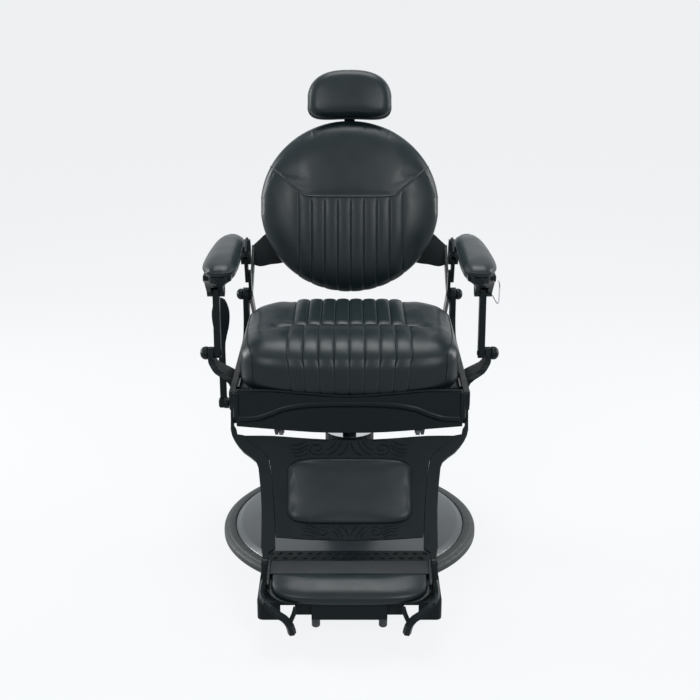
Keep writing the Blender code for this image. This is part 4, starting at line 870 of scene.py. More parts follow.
@dataclass
class SeatCushion:
    """The seat: a boxed block with bolsters beside eight channels, and a tuck across its middle.

    Its face is drawn over (x, y). A roll is a share of the way in from the outline, and a depth.
    """

    half_width: float = 0.2755
    front: float = -0.2870
    rear: float = 0.1600
    edge: float = 0.6235  # height of the face's outline, before the roll
    crown: float = 0.0125  # how much higher the middle is
    board: float = 0.503
    squareness: tuple[float, float] = (7.0, 4.2)  # the outline's power in front and behind
    side_roll: tuple[float, float] = (0.17, 0.042)
    front_roll: tuple[float, float] = (0.42, 0.064)
    roll_power: float = 2.2
    grid_share: float = 0.955
    tuck: float = -0.120
    tuck_depth: float = 0.012
    tuck_slopes: tuple[float, float] = (0.0042, 0.0105)  # its widths in front and behind
    tuck_end: tuple[float, float] = (0.186, 0.022)  # where it has faded out, and the length of its fade
    puff: tuple[float, float, float] = (0.0042, 0.022, 0.017)  # before the tuck: height, distance, width
    valley: tuple[float, float, float] = (0.0048, 0.164, 0.014)  # beside the rear channels: depth, x, width
    folds: tuple[tuple[float, float, float], ...] = (  # slope in degrees, length, depth
        (8.0, 0.034, 0.0042), (-24.0, 0.026, 0.0022), (38.0, 0.030, 0.0024))
    fold_start: float = 0.172
    fold_width: float = 0.0060
    bolster: float = 0.155  # where the plain bolster starts
    rear_pinch: float = 0.940
    hem_pinch: float = 0.930
    hem_fall: float = 0.105  # the height over which the front face narrows
    sag: tuple[float, float] = (0.0125, 0.21)  # the hem's depth below a straight line, and its half width
    stitch_line: float = 0.0034  # a stitch row's distance from its seam
    channels: Channels = field(default_factory=lambda: Channels(pitch=38.4 * MM, crown=1.6 * MM, groove=2.8 * MM,
                                                                 groove_half=2.5 * MM))

    def __post_init__(self) -> None:
        """Work out the face's middle and depth."""
        self.middle = (self.front + self.rear) / 2.0
        self.depth = (self.rear - self.front) / 2.0

    def corner(self, y: float) -> float:
        """The outline's power: square at the front, rounder behind."""
        return self.squareness[0] if y < self.middle else self.squareness[1]

    def share(self, x: float, y: float) -> float:
        """How near a point is to the outline, from 0 in the middle to 1."""
        power = self.corner(y)
        return (abs(x / self.half_width) ** power + abs((y - self.middle) / self.depth) ** power) ** (1.0 / power)

    def roll(self, x: float, y: float) -> tuple[float, float]:
        """Width and depth of the rolled edge: tight at the sides and rear, wide at the front."""
        across, along = abs(x / self.half_width) ** 5, abs((y - self.middle) / self.depth) ** 5
        front = along / (along + across + 1e-6) if y < self.middle else 0.0
        return (self.side_roll[0] + (self.front_roll[0] - self.side_roll[0]) * front,
                self.side_roll[1] + (self.front_roll[1] - self.side_roll[1]) * front)

    def rows(self, x: float) -> list[float]:
        """Rows of the face at x, close together at the tuck."""
        wide, deep = self.half_width * self.grid_share * 1.012, self.depth * self.grid_share
        low, high = (self.middle + sign * oval(x, wide, deep, power) for sign, power in zip((-1, 1), self.squareness))
        near = [self.tuck + d for d in (-0.016, -0.010, -0.0055, -0.0022, 0.0, 0.0026, 0.007, 0.013)]
        return eased(low, self.tuck - 0.026, 15) + near + eased(self.tuck + 0.024, high, 20)

    def rise(self, x: float, y: float) -> float:
        """Height of the face."""
        share = self.share(x, y)
        drop = roll_drop(share, *self.roll(x, y), self.roll_power)
        crown = self.crown * (1.0 - min(1.0, share) ** 2.6)
        end, fading = self.tuck_end
        fade = clamp((end - abs(x)) / fading)
        gap = y - self.tuck
        tuck = self.tuck_depth * fade * bell(gap, self.tuck_slopes[0] if gap < 0 else self.tuck_slopes[1])
        height, before, width = self.puff
        puff = height * fade * bell(gap + before, width)
        depth, beside, width = self.valley
        dip = depth * bell(abs(x) - beside, width) * clamp(gap / 0.05)
        # The bolsters are loose and show their folds; the channels are drawn tight.
        fold = crumple(x * 3.0, y, 0.040, 0.0012) * (1.0 if abs(x) > self.bolster else 0.25)
        return self.edge + crown + puff - tuck - dip - drop + fold - self.creases(x, y)

    def creases(self, x: float, y: float) -> float:
        """Depth of the folds that the tuck's two ends pull into the bolsters."""
        depth = 0.0
        for slope, reach, deep in self.folds:
            turn = math.radians(slope)
            along, off = abs(x) - self.fold_start, y - self.tuck
            run = along * math.cos(turn) + off * math.sin(turn)
            side = off * math.cos(turn) - along * math.sin(turn)
            depth += deep * math.exp(-((run - reach * 0.5) / (reach * 0.6)) ** 2 - (side / self.fold_width) ** 2)
        return depth

    def warp(self, x: float, y: float) -> float:
        """Channels behind the tuck are sewn a little closer together."""
        if y <= self.tuck:
            return x
        inside = clamp((self.half_width - 0.03 - abs(x)) / (self.half_width - 0.18))
        return x * (1.0 - (1.0 - self.rear_pinch) * inside)

    def relief(self, x: float, y: float) -> float:
        """How far the channels stand out of the face: fuller behind the tuck, and over both ends as well."""
        behind = clamp((y - self.tuck) / 0.030)
        return self.channels.swell(x) * (1.0 + 0.8 * behind) - self.channels.depth(x) * (1.0 + 0.4 * behind)

    def hang(self, x: float, y: float, level: float) -> tuple[float, float, float]:
        """Let the front face narrow towards its hem, and its hem follow the apron's top edge."""
        if y > self.middle:
            return (x, y, level)
        down = clamp((self.edge - level) / self.hem_fall)
        inside = clamp((0.235 - abs(x)) / 0.080)
        low = clamp((0.556 - level) / 0.040) * clamp((-0.258 - y) / 0.010)
        depth, half = self.sag
        sag = depth * max(0.0, 1.0 - (x / half) ** 2) * low
        return (x * (1.0 - (1.0 - self.hem_pinch) * down * inside), y, level - sag)

    def rim(self, x: float, y: float) -> list[tuple[float, float]]:
        """The side's profile at x, y: the rest of the roll, an upright wall and a tucked hem."""
        share, deep = self.roll(x, y)
        start = 1.0 - (1.0 - self.grid_share) / share
        end = (1.0 - self.grid_share) * self.depth
        turns = [(t, start + (1.0 - start) * t) for t in (0.35, 0.65, 0.86, 0.975)]
        roll = [(end * t, self.edge - deep * rolled(u, self.roll_power)) for t, u in turns]
        foot = self.edge - deep
        wall = [(end, foot - 0.006), (end - 0.0005, self.board + 0.046), (end - 0.0015, self.board + 0.032),
                (end - 0.0035, self.board + 0.0200), (end - 0.0070, self.board + 0.0125),
                (end - 0.0140, self.board + 0.0080), (end - 0.0240, self.board + 0.0035),
                (end - 0.0260, self.board + 0.0006)]
        return roll + wall

    def build(self, shop: Workshop) -> None:
        """Sew the seat with its stitching and the piping of its boxed sides."""
        reach = self.half_width * self.grid_share
        form = SewnForm("seat_upholstery", self.channels.columns(reach, 13), self.rows, self.rise, self.rim,
                        Matrix.Identity(4), self.sewn, self.relief, self.warp, self.hang, pressure=5.0, cap=0.0012,
                        held_rings=4)
        seat = form.build()
        shop.fit(seat, "seat", Surface.LEATHER, ["seat_cushion"])
        probe, thread, parts = Probe(seat), Thread(), Parts()
        for seam in self.channels.seams():
            line = seam - self.stitch_line
            path = [Vector((self.warp(line, y), y, 0.70)) for y in eased(self.front + 0.014, self.rear - 0.02, 90)]
            thread.sew(parts, probe, path, Vector((0.0, 0.0, -1.0)))
            face = []
            for k in range(14):
                level = 0.606 - 0.0062 * k
                pinch = 1.0 - (1.0 - self.hem_pinch) * min(1.0, (self.edge - level) / self.hem_fall)
                face.append(Vector((line * pinch, self.front - 0.1, level)))
            thread.sew(parts, probe, face, Vector((0.0, 1.0, 0.0)))
        shop.fit(parts.made("seat_stitching"), "seat", Surface.THREAD)
        self._side_piping(shop, probe)
        self._board_wrap(shop)

    def sewn(self, x: float, y: float) -> bool:
        """Whether thread holds the face: along the seams and along the tuck."""
        return self.channels.on_seam(x) or (abs(y - self.tuck) < 0.001 and abs(x) < 0.176)

    def _board_wrap(self, shop: Workshop) -> None:
        """Turn the hide over the edge of the seat's board."""
        radius, half, front, rear = 0.031, 0.2764, -0.2616, 0.1516
        outline = []
        for sx, y, turn in ((1.0, rear, 0.0), (-1.0, rear, 90.0), (-1.0, front, 180.0), (1.0, front, 270.0)):
            heart = Vector((sx * (half - radius), y - radius if y > 0 else y + radius))
            for k in range(9):
                a = math.radians(turn + 90.0 * k / 8)
                outline.append((heart, Vector((math.cos(a), math.sin(a)))))
        # (out of the outline, level): over the board's top edge, down its side and under it.
        profile = ((-0.070, 0.5046), (-0.002, 0.5050), (0.0, 0.5036), (0.0004, 0.4965), (0.0, 0.4902), (-0.002, 0.4892),
                   (-0.026, 0.4896))
        parts = Parts()
        for heart, out in outline:
            for offset, level in profile:
                at = heart + out * (radius + offset)
                parts.points.append(Vector((at.x, at.y, level)))
        parts.faces += tube_faces(len(outline), len(profile), closed=True)
        shop.fit(parts.made("seat_board_wrap"), "seat", Surface.LEATHER)

    def _side_piping(self, shop: Workshop, probe: Probe) -> None:
        """Run piping up each boxed front corner and back along the side panel's top edge."""
        parts = Parts()
        route = ((0.2490, -0.290, 0.526), (0.2500, -0.290, 0.560), (0.2510, -0.288, 0.590), (0.2525, -0.278, 0.612),
                 (0.2555, -0.262, 0.624), (0.2590, -0.235, 0.628), (0.2640, -0.175, 0.622), (0.2690, -0.100, 0.617),
                 (0.2710, -0.020, 0.614), (0.2660, 0.060, 0.612), (0.2500, 0.120, 0.606), (0.2350, 0.142, 0.590),
                 (0.2330, 0.148, 0.560), (0.2330, 0.148, 0.530))
        for side in (RIGHT, LEFT):
            run = []
            for p in smooth_run([(side * x, y, z) for x, y, z in route], 10):
                point, normal = probe.nearest(p)
                run.append(point + normal * 0.0006)
            parts.rod(relaxed(run, 10), PIPING_RADIUS)
        shop.fit(parts.made("seat_side_piping"), "seat", Surface.PIPING)


@dataclass
class BackCushion:
    """The round back: a domed disc, a plain yoke over eight channels, and the lapped seam between."""

    half_width: float = 0.2500
    half_height: float = 0.2405
    middle: float = 0.2425
    thickness: float = 0.052
    crown: float = 0.018
    roll_share: float = 0.42
    roll_depth: float = 0.033
    roll_power: float = 2.6
    grid_share: float = 0.960
    lap: float = 6.2 * MM
    seam: tuple[float, float, float] = (0.268, 0.126, 0.90)  # the yoke's: height, half of its level run, slope
    stitch_line: float = 0.0032  # a stitch row's distance from its seam
    channels: Channels = field(default_factory=lambda: Channels(pitch=36.4 * MM, crown=1.1 * MM, groove=2.4 * MM,
                                                             groove_half=2.4 * MM, shift=3.6 * MM))

    def __post_init__(self) -> None:
        """Place the back's plane."""
        self.plane = tilted(BACK_FOOT, BACK_LEAN)

    def yoke(self, x: float) -> float:
        """Height of the yoke's seam at x: level in the middle, then straight up to the disc's edge."""
        height, level, slope = self.seam
        past = abs(x) - level
        return height + slope * 0.5 * (past + math.hypot(past, 0.012))

    def share(self, x: float, t: float) -> float:
        """How near a point is to the outline, from 0 in the middle to 1."""
        return math.hypot(x / self.half_width, (t - self.middle) / self.half_height)

    def rows(self, x: float) -> list[float]:
        """Rows of the face at x, close together at the lapped seam."""
        run = oval(x, self.half_width * self.grid_share * 1.006, self.half_height * self.grid_share, 2.0)
        low, high = self.middle - run, self.middle + run
        span = high - low
        seam = min(max(self.yoke(x), low + 0.45 * span), low + 0.90 * span)
        squeeze = min(1.0, span / 0.24)
        near = [seam + d * squeeze for d in (-0.016, -0.0105, -0.0080, -0.0062, -0.0045, -0.0020, 0.0, 0.0020, 0.006)]
        return eased(low, seam - 0.024 * squeeze, 20) + near + eased(seam + 0.013 * squeeze, high, 13)

    def rise(self, x: float, t: float) -> float:
        """Height of the face out of the back's plane."""
        share = self.share(x, t)
        drop = roll_drop(share, self.roll_share, self.roll_depth, self.roll_power)
        crown = self.crown * (1.0 - min(1.0, share) ** 2.2)
        gap = t - self.yoke(x)
        step = 0.0016 * clamp(0.5 + gap / 0.003) * clamp((0.985 - share) / 0.02)
        fold = crumple(x, t, 0.060, 0.0008)
        return crown - drop - step + fold

    def relief(self, x: float, t: float) -> float:
        """How far the channels below the yoke stand out of the face, over its lower edge as well."""
        below = clamp((self.yoke(x) - t - self.lap) / 0.010)
        return below * (self.channels.swell(x) - self.channels.depth(x))

    def rim(self, x: float, t: float) -> list[tuple[float, float]]:
        """The side's profile, the same all round: the rest of the roll, turned under to the shell."""
        wide = self.roll_share * self.half_height
        start = 1.0 - (1.0 - self.grid_share) / self.roll_share
        roll = [((u - start) * wide, -self.roll_depth * rolled(u, self.roll_power))
                for u in (0.935, 0.963, 0.984, 0.997)]
        end = (1.0 - start) * wide
        return roll + [(end, -0.0335), (end - 0.0015, -0.0405), (end - 0.006, -0.0465), (end - 0.014, -0.0503),
                       (end - 0.020, -self.thickness + 0.0006), (end - 0.024, -self.thickness + 0.0002)]

    def build(self, shop: Workshop) -> None:
        """Sew the back with its lap, its stitching and the shell's trim."""
        reach = self.half_width * self.grid_share
        form = SewnForm("back_upholstery", self.channels.columns(reach, 13), self.rows, self.rise, self.rim,
                        self.plane, self.sewn, self.relief, pressure=4.0, cap=0.0028, held_rings=5)
        back = form.build()
        shop.fit(back, "back", Surface.LEATHER, ["back_cushion"])
        probe, thread, parts = Probe(back), Thread(), Parts()
        look = -(self.plane.to_3x3() @ Vector((0.0, 0.0, 1.0)))
        for seam in self.channels.seams():
            line = seam - self.stitch_line
            low = self.middle - oval(line, self.half_width, self.half_height, 2.0) + 0.004
            path = [self.plane @ Vector((line, t, 0.10)) for t in eased(low, self.yoke(line) - self.lap, 70)]
            thread.sew(parts, probe, path, look)
        path = [self.plane @ Vector((x, self.yoke(x) + 0.0030, 0.10)) for x in eased(-0.238, 0.238, 160)]
        thread.sew(parts, probe, path, look)
        shop.fit(parts.made("back_stitching"), "back", Surface.THREAD)
        self._lap_strip(shop, probe)
        self._shell_trim(shop)

    def sewn(self, x: float, t: float) -> bool:
        """Whether thread holds the face: along the channels' seams and along the yoke's."""
        return (self.channels.on_seam(x) and t < self.yoke(x) - self.lap) or abs(t - self.yoke(x)) < 0.0005

    def _lap_strip(self, shop: Workshop, probe: Probe) -> None:
        """Lay the yoke's folded edge over the channels, from one side of the disc to the other."""
        half, steps = 0.2225, 180
        # (along the back, out of the hide): over the fold, down its front and under it.
        profile = ((0.0008, -0.0006), (-0.0004, 0.0010), (-0.0030, 0.0016), (-0.0054, 0.0016), (-0.0064, -0.0008))
        tracks = []
        for shift, lift in profile:
            track = []
            for i in range(steps + 1):
                x = -half + 2.0 * half * i / steps
                t = self.yoke(x) + shift
                point, normal = probe.nearest(self.plane @ Vector((x, t, self.rise(x, t) + 0.004)))
                track.append(point + normal * lift)
            tracks.append(relaxed(track, 2))
        strip = Parts()
        strip.points += [point for row in zip(*tracks) for point in row]
        strip.faces += tube_faces(steps + 1, len(profile))
        shop.fit(strip.made("back_yoke_lap"), "back", Surface.LEATHER)

    def _shell_trim(self, shop: Workshop) -> None:
        """Pipe the joint of cushion and shell, and nail the cover to the shell's back."""
        welt = Parts()
        ring = [self.plane @ Vector((0.2335 * math.cos(a), self.middle + 0.2235 * math.sin(a), -self.thickness))
                for a in (2.0 * math.pi * i / 96 for i in range(96))]
        welt.rod(ring, 0.0026, closed=True)
        shop.fit(welt.made("back_piping"), "back", Surface.PIPING)
        nails, count = Parts(), 44
        head = [(0.0052, -0.0008), (0.0050, 0.0006), (0.0038, 0.0019), (0.0018, 0.0026)]
        out = self.plane.to_3x3() @ Vector((0.0, 0.0, -1.0))
        for i in range(count):
            a = 2.0 * math.pi * (i + 0.5) / count
            at = self.plane @ Vector((0.217 * math.cos(a), self.middle + 0.207 * math.sin(a), -0.0680))
            nails.turn(head, at, out, 12)
        shop.fit(nails.made("back_nails"), "back", Surface.POWDER_COAT)


@dataclass
class HeadrestCushion:
    """The headrest: a loaf-shaped face, piped all round, on a band that is fuller below."""

    half_width: float = 0.1192
    waist: float = 0.530  # where it is widest, up the back's plane
    rise_above: float = 0.0922
    drop_below: float = 0.0550
    squareness: tuple[float, float] = (2.6, 3.0)  # the outline's power above and below the waist
    arch_height: float = 0.0165
    front: float = 0.012
    set_back: float = 0.008  # how far behind the front its rolled edge starts
    thickness: float = 0.060
    roll_share: float = 0.24
    roll_depth: float = 0.024
    roll_power: float = 2.0
    piping: float = 0.0345  # how far behind the front its piping runs
    grid_share: float = 0.93

    def __post_init__(self) -> None:
        """Place the headrest in the back's plane."""
        self.plane = tilted(BACK_FOOT, BACK_LEAN)

    def arch(self, x: float) -> float:
        """How far the lower edge arches up at x."""
        return self.arch_height * (1.0 - min(1.0, abs(x) / self.half_width) ** 2)

    def share(self, x: float, h: float) -> float:
        """How near a point is to the outline, from 0 in the middle to 1."""
        off = h - self.waist
        tall = self.rise_above if off > 0 else self.drop_below - self.arch(x)
        power = self.squareness[0] if off > 0 else self.squareness[1]
        return (abs(x / self.half_width) ** power + abs(off / tall) ** power) ** (1.0 / power)

    def rows(self, x: float) -> list[float]:
        """Rows of the face at x."""
        wide = self.half_width * self.grid_share * 1.01
        above, below = self.squareness
        high = self.waist + oval(x, wide, self.rise_above * self.grid_share, above)
        low = self.waist - oval(x, wide, (self.drop_below - self.arch(x)) * self.grid_share, below)
        return eased(low, high, 20)

    def rise(self, x: float, h: float) -> float:
        """Height of the face out of the back's plane."""
        share = self.share(x, h)
        drop = roll_drop(share, self.roll_share, self.roll_depth, self.roll_power)
        crown = 0.009 * (1.0 - min(1.0, share) ** 2.2)
        return self.front - self.set_back + crown - drop + crumple(x, h, 0.050, 0.0006)

    def hang(self, x: float, h: float, level: float) -> tuple[float, float, float]:
        """Let the band below the piping swell at the headrest's lower end."""
        low = clamp((self.waist - h) / 0.030)
        deep = clamp((-0.0175 - level) / 0.008)
        return (x * (1.0 + 0.020 * low * deep), h - 0.0030 * low * deep, level)

    def profile(self) -> list[tuple[float, float]]:
        """The side's profile, the same all round: the rest of the roll, the piped seam and the band."""
        back = self.front - self.thickness
        wide = self.roll_share * (self.rise_above + self.drop_below) / 2.0
        start = 1.0 - (1.0 - self.grid_share) / self.roll_share
        roll = [((u - start) * wide, self.front - self.set_back - self.roll_depth * rolled(u, self.roll_power))
                for u in (0.80, 0.89, 0.96, 0.993)]
        end = (1.0 - start) * wide
        return roll + [(end - 0.0012, self.front - self.piping), (end + 0.0004, self.front - 0.0385),
                       (end + 0.0004, back + 0.013), (end - 0.002, back + 0.006), (end - 0.007, back + 0.0015),
                       (end - 0.010, back + 0.0004)]

    def build(self, shop: Workshop) -> None:
        """Sew the headrest and its piping."""
        rim = self.profile()
        reach = self.half_width * self.grid_share
        columns = [reach * math.sin(math.pi / 2.0 * k / 16.0) for k in range(-16, 17)]
        form = SewnForm("headrest_upholstery", columns, self.rows, self.rise, lambda x, h: rim, self.plane,
                        hang=self.hang, pressure=3.0, cap=0.003, held_rings=6)
        pad = form.build()
        shop.fit(pad, "headrest", Surface.LEATHER, ["headrest_cushion"])
        probe, welt, ring = Probe(pad), Parts(), []
        steps, far, heart = 120, 0.30, 0.548
        for i in range(steps):
            a = 2.0 * math.pi * i / steps
            spoke = Vector((math.cos(a), math.sin(a), 0.0))
            start = self.plane @ Vector((spoke.x * far, heart + spoke.y * far, self.front - self.piping))
            hit = probe.drop(start, -(self.plane.to_3x3() @ spoke), 2.0 * far)
            if hit:
                ring.append(hit[0] + hit[1] * 0.0004)
        welt.rod(ring, PIPING_RADIUS, closed=True)
        shop.fit(welt.made("headrest_piping"), "headrest", Surface.PIPING)


@dataclass
class ArmPad:
    """An armrest's pad: a long tapered oval, fullest near the front, with piping round its band."""

    side: float
    plan: tuple[tuple[float, float, float], ...] = (  # y, with the inner and outer edge
        (-0.244, 0.306, 0.330), (-0.234, 0.290, 0.3435), (-0.208, 0.2785, 0.3550), (-0.165, 0.2760, 0.360),
        (-0.100, 0.2765, 0.3605), (-0.030, 0.2775, 0.3575), (0.035, 0.2795, 0.3520), (0.085, 0.2830, 0.3435),
        (0.118, 0.2890, 0.3340), (0.132, 0.299, 0.3190))
    top: float = 0.826
    thickness: float = 0.034
    piping: float = 0.0238  # how far below the top its piping runs
    spine: tuple[float, float] = (0.10, 0.72)  # the ridge's width and length, as shares of the plan's
    droop: tuple[float, float] = (0.006, 0.185)  # how far both ends droop, and half of its length

    def outline(self, inset: float) -> list[Vector]:
        """The plan's edge, drawn in by inset, as a closed run."""
        inner = smooth_run([(row[1] + inset, row[0]) for row in self.plan], 6)
        outer = smooth_run([(row[2] - inset, row[0]) for row in reversed(self.plan)], 6)
        return [Vector((p[0] * self.side, p[1])) for p in inner + outer]

    def levels(self) -> list[tuple[float, float]]:
        """Its rings from the ridge to the underside, as (share of the plan, height)."""
        base = self.top - self.thickness
        return [(0.14, self.top), (0.34, self.top - 0.0011), (0.54, self.top - 0.0036), (0.70, self.top - 0.0070),
                (0.83, self.top - 0.0110), (0.925, self.top - 0.0155), (0.975, self.top - 0.0194),
                (0.992, self.top - 0.0225), (0.978, self.top - self.piping), (0.992, self.top - 0.0255),
                (0.990, base + 0.004), (0.965, base + 0.0004)]

    def cover(self, name: str) -> bpy.types.Object:
        """Sew the cover from its rings.

        Args:
            name: the piece's name.

        Returns:
            The object, subdivided once.
        """
        ring = self.outline(0.0)
        count = len(ring)
        middle = Vector((sum(p.x for p in ring) / count, sum(p.y for p in ring) / count))
        levels = self.levels()
        points: list[Vector] = []
        for share, level in levels:
            for p in ring:
                along = min(1.0, abs(p.y - middle.y) / self.droop[1])
                # The ridge follows the plan's length, so rings shrink across more than along.
                spine = Vector((middle.x + (p.x - middle.x) * self.spine[0],
                                middle.y + (p.y - middle.y) * self.spine[1]))
                at = spine.lerp(p, share)
                droop = self.droop[0] * along ** 4 * (1.0 if level > self.top - 0.020 else 0.0)
                points.append(Vector((at.x, at.y, level - droop + crumple(at.x, at.y, 0.05, 0.0006))))
        faces = []
        for i in range(len(levels) - 1):
            for k in range(count):
                j = (k + 1) % count
                faces.append([i * count + k, (i + 1) * count + k, (i + 1) * count + j, i * count + j])
        last = (len(levels) - 1) * count
        for k in range(count // 2 - 1):
            far = count - 1 - k
            faces.append([k, k + 1, far - 1, far])
            faces.append([last + far, last + far - 1, last + k + 1, last + k])
        if self.side > 0:
            faces = [list(reversed(f)) for f in faces]
        return subdivided(mesh_object(name, points, faces))

    def build(self, shop: Workshop) -> None:
        """Sew the pad and its piping."""
        hand = "left" if self.side > 0 else "right"
        pad = self.cover(f"armrest_upholstery_{hand}")
        body = f"armrest_{hand}"
        shop.fit(pad, body, Surface.LEATHER, [f"armrest_pad_{hand}"])
        welt = Parts()
        run = [Vector((p.x, p.y, self.top - self.piping)) for p in self.outline(0.0004)]
        welt.rod(run, PIPING_RADIUS, closed=True)
        shop.fit(welt.made(f"armrest_piping_{hand}"), body, Surface.PIPING)


@dataclass
class CalfPad:
    """The thin pad sunk in the calf panel."""

    half_width: float = 0.153
    top: float = -0.113
    bottom: float = -0.279
    face: float = 0.004
    thickness: float = 0.016
    roll: float = 0.009
    crown: float = 0.0040
    edge_drop: float = 0.0075  # how far the face's edge lies below the pad's full height
    side: float = 0.0095  # how far the rolled edge goes down

    def build(self, shop: Workshop) -> None:
        """Sew the pad on the leg rest's plane."""
        plane = tilted(LEG_FOOT, LEG_LEAN)
        reach = self.half_width - self.roll
        middle = (self.top + self.bottom) / 2.0
        tall = (self.top - self.bottom) / 2.0 - self.roll

        def rows(x: float) -> list[float]:
            """Rows of the face at x."""
            run = oval(x, reach * 1.01, tall, 7.0)
            return eased(middle - run, middle + run, 16)

        def rise(x: float, s: float) -> float:
            """Height of the face."""
            edge = max(abs(x) / reach, abs(s - middle) / tall)
            return start + self.crown * (1.0 - min(1.0, edge) ** 3.0) + crumple(x, s, 0.05, 0.0008)

        start = self.face + self.thickness - self.edge_drop
        turns = [math.radians(a) for a in (20, 40, 60, 78, 90)]
        rim = [(self.roll * math.sin(a), start - self.side * (1.0 - math.cos(a))) for a in turns]
        rim += [(self.roll * 0.92, self.face + 0.0012), (self.roll * 0.85, self.face + 0.0004)]
        form = SewnForm("calf_upholstery", eased(-reach, reach, 26), rows, rise, lambda x, s: rim, plane,
                        pressure=2.0, cap=0.0008, held_rings=3)
        shop.fit(form.build(), "leg_rest", Surface.LEATHER, ["calf_cushion"])


@dataclass
class FootBarPad:
    """The roll of padding along the foot bar: straight above, with large lower corners."""

    half_width: float = 0.1880
    high: float = -0.0480
    low: float = -0.1335
    full: float = 0.0205  # its height out of the tray's plane
    crown: float = 0.0025
    roll_depth: float = 0.0165
    roll_share: float = 0.30
    roll_power: float = 2.0
    grid_share: float = 0.955
    corner: float = 3.7  # squareness of its lower corners
    seat: float = 0.0014
    wrap: float = 0.0042  # how far its front edge goes down over the tray's

    def __post_init__(self) -> None:
        """Work out the pad's middle and depth."""
        self.middle = (self.high + self.low) / 2.0
        self.deep = self.high - self.low

    def share(self, x: float, s: float) -> float:
        """How near a point is to the outline, from 0 in the middle to 1."""
        below = (abs(x / self.half_width) ** self.corner
                 + (max(0.0, self.high - s) / self.deep) ** self.corner) ** (1.0 / self.corner)
        return max(below, 2.0 * (s - self.middle) / self.deep)

    def rows(self, x: float) -> list[float]:
        """Rows of the face at x."""
        top = self.high - self.deep * 0.5 * (1.0 - self.grid_share)
        run = oval(x, self.half_width * self.grid_share * 1.008, self.deep * self.grid_share, self.corner)
        return eased(min(self.high - run, top - 0.010), top, 16)

    def rise(self, x: float, s: float) -> float:
        """Height of the face."""
        share = self.share(x, s)
        drop = roll_drop(share, self.roll_share, self.roll_depth, self.roll_power)
        return self.full + self.crown * (1.0 - min(1.0, share) ** 2) - drop + crumple(x, s, 0.05, 0.0006)

    def hang(self, x: float, s: float, level: float) -> tuple[float, float, float]:
        """Carry the pad's front edge down over the tray's."""
        front = clamp((-0.1275 - s) / 0.004)
        return (x, s, level - self.wrap * front * clamp((0.006 - level) / 0.004))

    def build(self, shop: Workshop) -> None:
        """Sew the pad in the foot bar's tray."""
        start = 1.0 - (1.0 - self.grid_share) / self.roll_share
        wide = self.roll_share * self.deep * 0.8
        rim = [((u - start) * wide, self.full - self.roll_depth * rolled(u, self.roll_power))
               for u in (0.90, 0.945, 0.975, 0.995)]
        end = (1.0 - start) * wide
        rim += [(end + 0.0002, self.seat + 0.0020), (end - 0.0006, self.seat + 0.0006), (end - 0.0016, self.seat)]
        reach = self.half_width * self.grid_share
        form = SewnForm("foot_bar_upholstery", eased(-reach, reach, 40), self.rows, self.rise, lambda x, s: rim,
                        tilted(FOOT_BAR_PIVOT, FOOT_BAR_LEAN), hang=self.hang, pressure=2.0, cap=0.0015,
                        held_rings=3)
        shop.fit(form.build(), "foot_bar", Surface.LEATHER, ["foot_bar_pad"])


# --- turned base and pressed trim -----------------------------------------------------
@dataclass
class TurnedBase:
    """The round base: a graphite dish and the stepped ring round it, both turned finely."""

    sides: int = 192
    sharp_deg: float = 38.0  # steps steeper than this stay crisp
    dish: tuple[tuple[float, float], ...] = (
        (0.3000, 0.0010), (0.3166, 0.0010), (0.3172, 0.0016), (0.3172, 0.0214), (0.3164, 0.0228), (0.3145, 0.0240),
        (0.3030, 0.0312), (0.3005, 0.0324), (0.2975, 0.0331), (0.2700, 0.0353), (0.2300, 0.0388), (0.1900, 0.0421),
        (0.1500, 0.0448), (0.1360, 0.0456), (0.1200, 0.0459))
    ring: tuple[tuple[float, float], ...] = (
        (0.3181, 0.0008), (0.3181, 0.0236), (0.3187, 0.0247), (0.3200, 0.0253), (0.3270, 0.0256), (0.3345, 0.0248),
        (0.3368, 0.0240), (0.3374, 0.0222), (0.3382, 0.0216), (0.3412, 0.0209), (0.3424, 0.0202), (0.3430, 0.0184),
        (0.3438, 0.0178), (0.3466, 0.0165), (0.3486, 0.0148), (0.3497, 0.0122), (0.3500, 0.0095), (0.3500, 0.0008))

    def build(self, shop: Workshop) -> None:
        """Turn both pieces on the chair's axis."""
        for name, node, profile, hollow, surface, slot in (
                ("base_dish", "base_plate", self.dish, False, Surface.DISH_ENAMEL, "dish_casting"),
                ("base_ring", "base_rim", self.ring, True, Surface.MOULDED_RUBBER, "ribbed_rubber")):
            parts = Parts()
            parts.turn(profile, Vector((0.0, 0.0, 0.0)), Vector((0.0, 0.0, 1.0)), self.sides, hollow)
            made = parts.made(name)
            made.data.shade_flat()
            smooth = made.modifiers.new("edges", "EDGE_SPLIT")
            smooth.split_angle = math.radians(self.sharp_deg)
            shop.fit(applied(made), "base", surface, [node])


